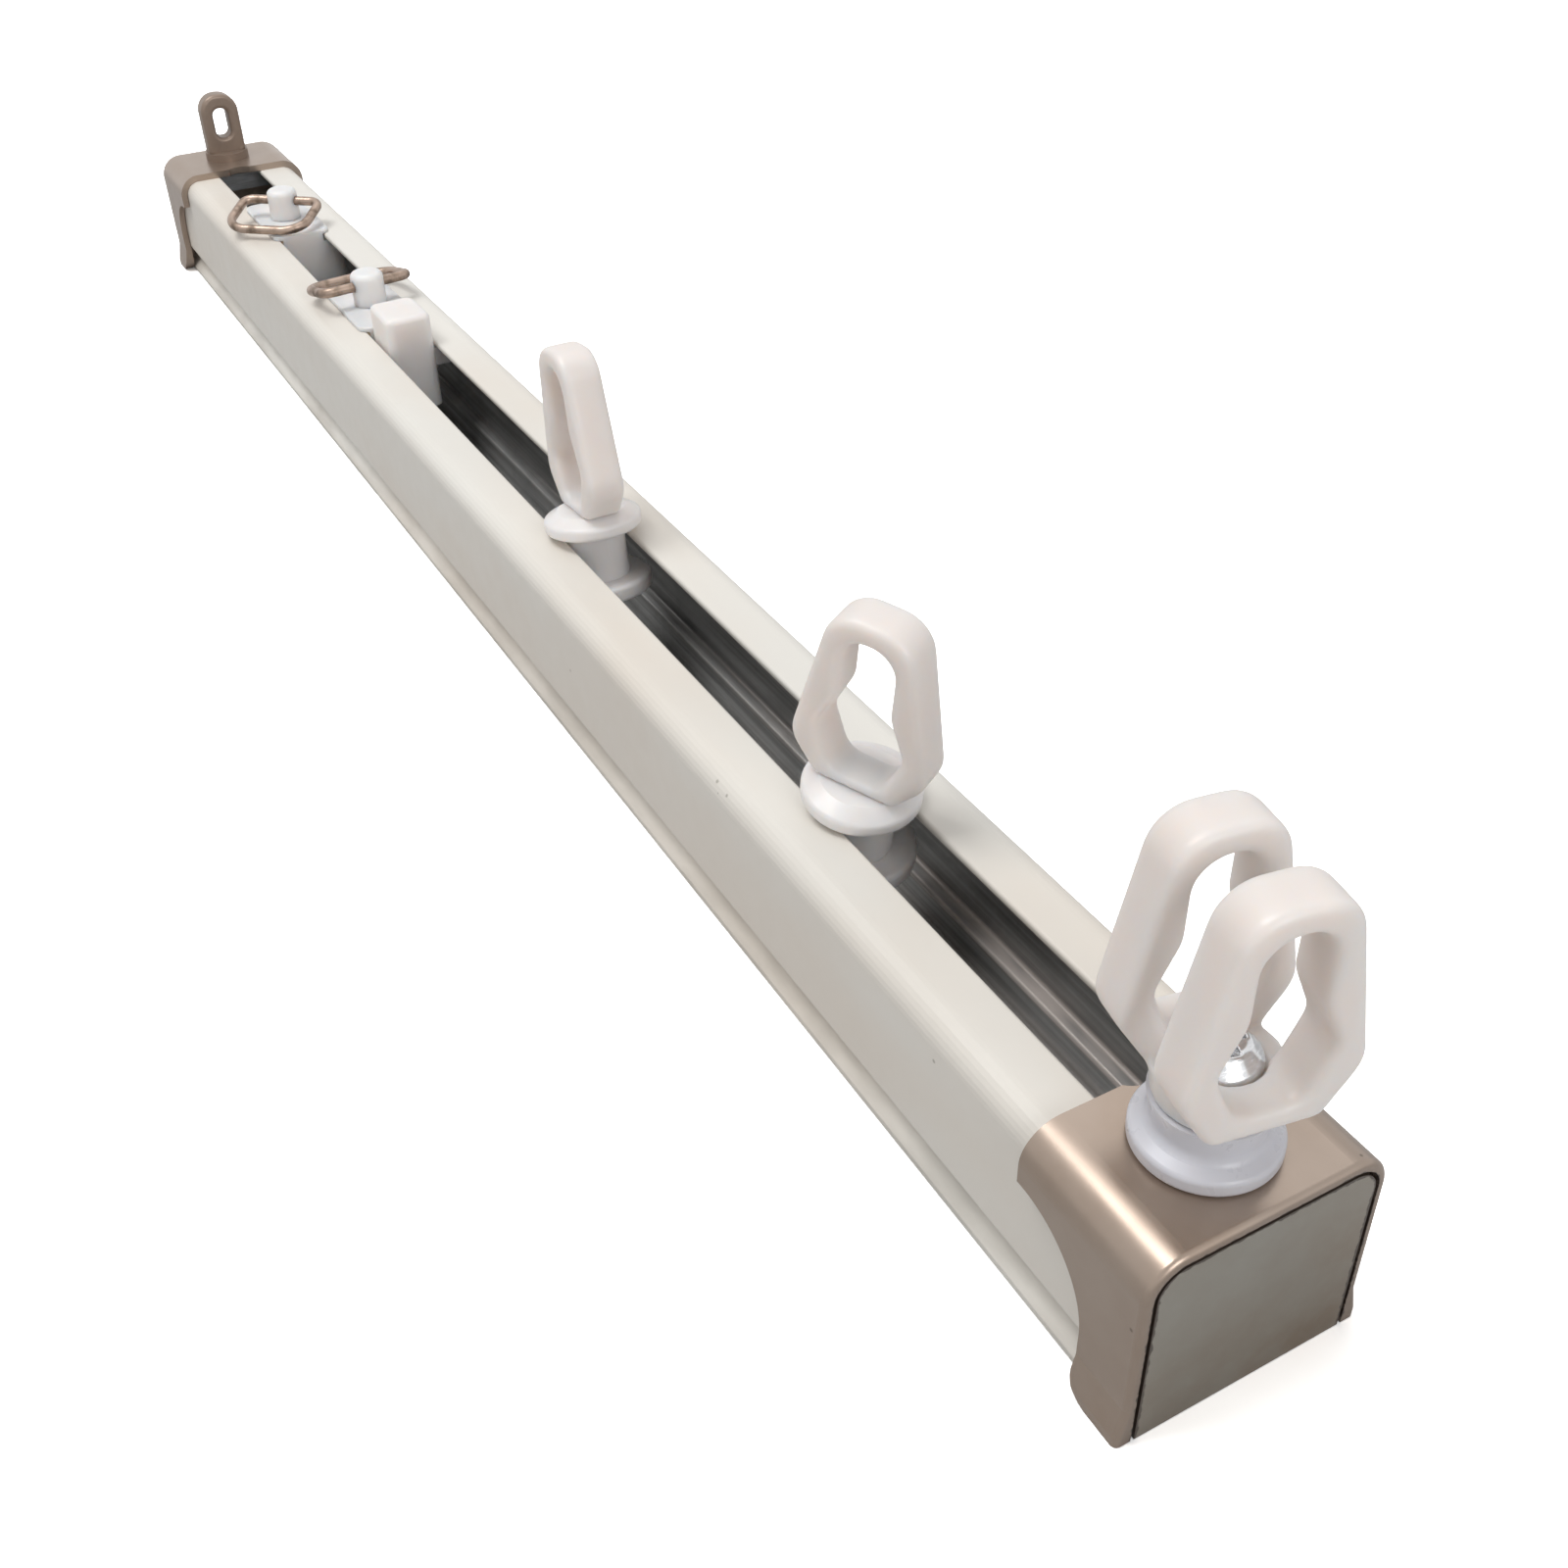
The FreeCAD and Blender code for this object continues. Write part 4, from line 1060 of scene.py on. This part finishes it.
@dataclass
class WireBail:
    """A closed wire loop: hinge bar, two sides and a rounded far bar, lying on its plate.

    Sizes are in millimetres, the heading in degrees.
    """

    number: int
    heading: float
    post_x: float
    finishes: Finishes
    wire: float = 1.3
    width: float = 12.1
    reach: float = 8.2
    far_bend: float = 3.3
    hinge_bend: float = 1.6
    axis_height: float = 20.05
    drop: float = 1.8
    bend_steps: int = 14
    round_steps: int = 20

    def tree(self) -> Tree:
        """Node tree that bends the wire round its corners and gives it its thickness.

        Returns:
            The tree, with named inputs for its sizes and its material.
        """
        tree = Tree("Bent Wire %d" % self.number, {
            "Wire Radius": ("NodeSocketFloat", self.wire * MM / 2),
            "Bend Steps": ("NodeSocketInt", self.bend_steps),
            "Round Steps": ("NodeSocketInt", self.round_steps),
            "Material": ("NodeSocketMaterial", None),
        })
        start = tree.start.outputs
        line = tree.add("GeometryNodeMeshToCurve", {0: start["Geometry"]})
        radius = tree.add("GeometryNodeInputNamedAttribute", {"Name": "bend"}, data_type="FLOAT")
        bent = tree.add("GeometryNodeFilletCurve", {"Curve": line.outputs[0], "Radius": radius.outputs[0],
                                                    "Count": start["Bend Steps"]}, mode="POLY")
        ring = tree.add("GeometryNodeCurvePrimitiveCircle", {"Resolution": start["Round Steps"],
                                                             "Radius": start["Wire Radius"]})
        tube = tree.add("GeometryNodeCurveToMesh", {"Curve": bent.outputs[0],
                                                    "Profile Curve": ring.outputs[0]})
        smooth = tree.add("GeometryNodeSetShadeSmooth", {0: tube.outputs[0]})
        tree.finish(smooth.outputs[0], start["Material"])
        return tree

    def build(self) -> bpy.types.Object:
        """Bend the bail and put it on its body in place of the node.

        Returns:
            The bail.
        """
        half = self.width / 2
        corners = [Vector((0, -half, 0)), Vector((self.reach, -half, 0)),
                   Vector((self.reach, half, 0)), Vector((0, half, 0))]
        tilt = Matrix.Rotation(math.asin(self.drop / self.reach), 4, "Y")
        turn = Matrix.Rotation(math.radians(self.heading), 4, "Z")
        centre = Vector((self.post_x, 0, self.axis_height))
        placed = [tuple(((turn @ tilt @ corner) + centre) * MM) for corner in corners]
        bends = [r * MM for r in (self.hinge_bend, self.far_bend, self.far_bend, self.hinge_bend)]
        source = bent_line("bail_line_%d" % self.number, placed, bends)
        piece = self.tree().run(source, "lead_runner_%d_wire" % self.number, {
            "Wire Radius": self.wire * MM / 2, "Bend Steps": self.bend_steps,
            "Round Steps": self.round_steps, "Material": self.finishes.wire})
        outward(piece.data)
        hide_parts("lead_runner_%d_bail" % self.number)
        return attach(piece, "lead_%d_bail_body" % self.number)


@dataclass
class PackedNodes:
    """Every node of the pack with its finish, also those whose place a rebuilt piece takes."""

    finishes: Finishes

    def table(self) -> dict[str, bpy.types.Material]:
        """Finish of every node.

        Returns:
            Each node's name with its material.
        """
        f = self.finishes
        return {
            "rail": f.rail, "near_cap": f.cap, "far_cap": f.cap, "near_cap_panel": f.panel,
            "far_cap_panel": f.panel, "near_clamp_nut": f.nut, "far_clamp_nut": f.nut,
            "near_eye_collar": f.collar, "near_twin_eye": f.eye, "near_clamp_screw": f.screw,
            "far_eye_bolt": f.bolt, "runner_1_glider": f.glider, "runner_1_eye": f.eye,
            "runner_2_glider": f.glider, "runner_2_eye": f.eye, "slide_block": f.block,
            "lead_runner_1_body": f.block, "lead_runner_1_post": f.block, "lead_runner_1_bail": f.wire,
            "lead_runner_2_body": f.block, "lead_runner_2_post": f.block, "lead_runner_2_bail": f.wire,
        }

    def build(self) -> None:
        """Dress every node."""
        for node, material in self.table().items():
            dress(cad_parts[node], material)
            LOG.info("node %s: %s", node, material.name)


@dataclass(frozen=True)
class Lamp:
    """A square lamp that faces the middle of the track, in metres and watts."""

    name: str
    where: Point
    size: float
    watts: float

    def build(self) -> None:
        """Hang the lamp and turn it to the track."""
        data = bpy.data.lights.new(self.name, "AREA")
        data.size = self.size
        data.energy = self.watts
        lamp = bpy.data.objects.new(self.name, data)
        lamp.location = self.where
        lamp.rotation_mode = "QUATERNION"
        lamp.rotation_quaternion = (-Vector(self.where)).to_track_quat("-Z", "Y")
        bpy.context.scene.collection.objects.link(lamp)


@dataclass
class Studio:
    """Floor, light and camera. The eye is in millimetres, the floor in metres, the angles in radians."""

    lens: float = 39.243
    eye: Point = (176.225, -58.618, 103.385)
    azimuth: float = -0.491076
    elevation: float = 0.644265
    roll: float = -0.0275648
    sensor: float = 36.0
    clip: Pair = (0.005, 20.0)
    floor_half: float = 3.0
    floor_drop: float = 0.00005
    floor_plain: Colour = (0.6, 0.6, 0.6)
    floor_white: Colour = (1.9, 1.9, 1.9)
    white_from: Pair = (0.22, 0.44)
    sky_strength: float = 0.36
    white_rays: tuple[Ray, ...] = (Ray.CAMERA, Ray.GLOSSY, Ray.TRANSMISSION)
    direct_rays: tuple[Ray, ...] = (Ray.CAMERA, Ray.TRANSMISSION)
    lamps: tuple[Lamp, ...] = (
        Lamp("key", where=(-0.12, -0.28, 0.78), size=0.38, watts=3.7),
        Lamp("overhead", where=(-0.3, 0.25, 0.8), size=0.7, watts=1.0),
        Lamp("front", where=(0.85, 0.02, 0.42), size=0.4, watts=2.4),
    )

    def build(self) -> None:
        """Set up everything around the object."""
        self.floor()
        self.world()
        for lamp in self.lamps:
            lamp.build()
        self.camera()

    def floor(self) -> None:
        """A pale floor that looks white to the camera and keeps the object's shadow.

        Near the object it is a plain surface, so that shadows show. Further out it is as white as the
        world for every ray that sees the background.
        """
        half = self.floor_half
        corners = [(-half, -half, 0), (half, -half, 0), (half, half, 0), (-half, half, 0)]
        mesh = bpy.data.meshes.new("floor")
        mesh.from_pydata(corners, [], [(0, 1, 2, 3)])
        plane = mesh_object("floor", mesh)
        plane.location.z = -self.floor_drop
        recipe = Recipe("floor_pale")
        path = recipe.add("ShaderNodeLightPath")
        seen = recipe.largest([path.outputs[ray.value] for ray in self.white_rays], 0.0)
        direct = recipe.largest([path.outputs[ray.value] for ray in self.direct_rays], 0.0)
        near = recipe.add("ShaderNodeBsdfDiffuse")
        recipe.feed(near.inputs["Color"], recipe.mix(direct, self.floor_plain, self.floor_white))
        far = recipe.add("ShaderNodeEmission")
        away = recipe.add("ShaderNodeVectorMath", operation="LENGTH")
        recipe.feed(away.inputs[0], recipe.place)
        beyond = recipe.ramp(away.outputs["Value"], *self.white_from)
        ground = recipe.add("ShaderNodeMixShader")
        recipe.feed(ground.inputs[0], recipe.math("MULTIPLY", beyond, seen))
        recipe.feed(ground.inputs[1], near.outputs[0])
        recipe.feed(ground.inputs[2], far.outputs[0])
        plane.data.materials.append(recipe.close(ground))

    def world(self) -> None:
        """A soft world that is white to every ray that sees the background."""
        world = bpy.data.worlds.new("studio")
        bpy.context.scene.world = world
        world.use_nodes = True
        shade = ShaderTree(world.node_tree)
        path = shade.add("ShaderNodeLightPath")
        bright = shade.largest([path.outputs[ray.value] for ray in self.white_rays], self.sky_strength)
        sky = shade.add("ShaderNodeBackground")
        sky.inputs["Color"].default_value = (1.0, 1.0, 1.0, 1.0)
        shade.feed(sky.inputs["Strength"], bright)
        end = shade.add("ShaderNodeOutputWorld")
        shade.feed(end.inputs["Surface"], sky.outputs[0])

    def camera(self) -> None:
        """The camera at the photographed angle."""
        level = math.cos(self.elevation)
        forward = Vector((-math.cos(self.azimuth) * level, -math.sin(self.azimuth) * level,
                          -math.sin(self.elevation)))
        right = forward.cross(Vector((0, 0, 1))).normalized()
        above = right.cross(forward)
        turned = right * math.cos(self.roll) + above * math.sin(self.roll)
        above = above * math.cos(self.roll) - right * math.sin(self.roll)
        pose = Matrix((turned, above, -forward)).transposed().to_4x4()
        pose.translation = Vector(self.eye) * MM
        data = bpy.data.cameras.new("photo_angle")
        data.lens = self.lens
        data.sensor_width = self.sensor
        data.clip_start, data.clip_end = self.clip
        camera = bpy.data.objects.new("photo_angle", data)
        camera.matrix_world = pose
        bpy.context.scene.collection.objects.link(camera)
        bpy.context.scene.camera = camera


def main() -> None:
    """Dress the track, then set up the studio round it."""
    logging.basicConfig(level=logging.INFO, format="%(name)s: %(message)s")
    bpy.context.scene.view_settings.view_transform = "Standard"
    finishes = Finishes()
    PackedNodes(finishes).build()
    parts: list[tuple[str, Callable[[], bpy.types.Object]]] = [
        ("rail", RolledRail(finishes).build),
        *((node, SoftMoulding(node, node + "_body", "eye_plastic", finishes.eye).build)
          for node in ("near_twin_eye", "runner_1_eye", "runner_2_eye")),
        ("clamp screw", SoftMoulding("near_clamp_screw", "track", "screw_zinc", finishes.screw,
                                     voxel=0.1, passes=6).build),
        ("bail 1", WireBail(number=1, heading=186.0, post_x=-48.529, finishes=finishes).build),
        ("bail 2", WireBail(number=2, heading=-40.0, post_x=-89.529, finishes=finishes).build),
    ]
    for label, build in parts:
        piece = build()
        LOG.info("%s: %s, %d faces", label, piece.name, len(piece.data.polygons))
    Studio().build()


if __name__ == "__main__":
    main()
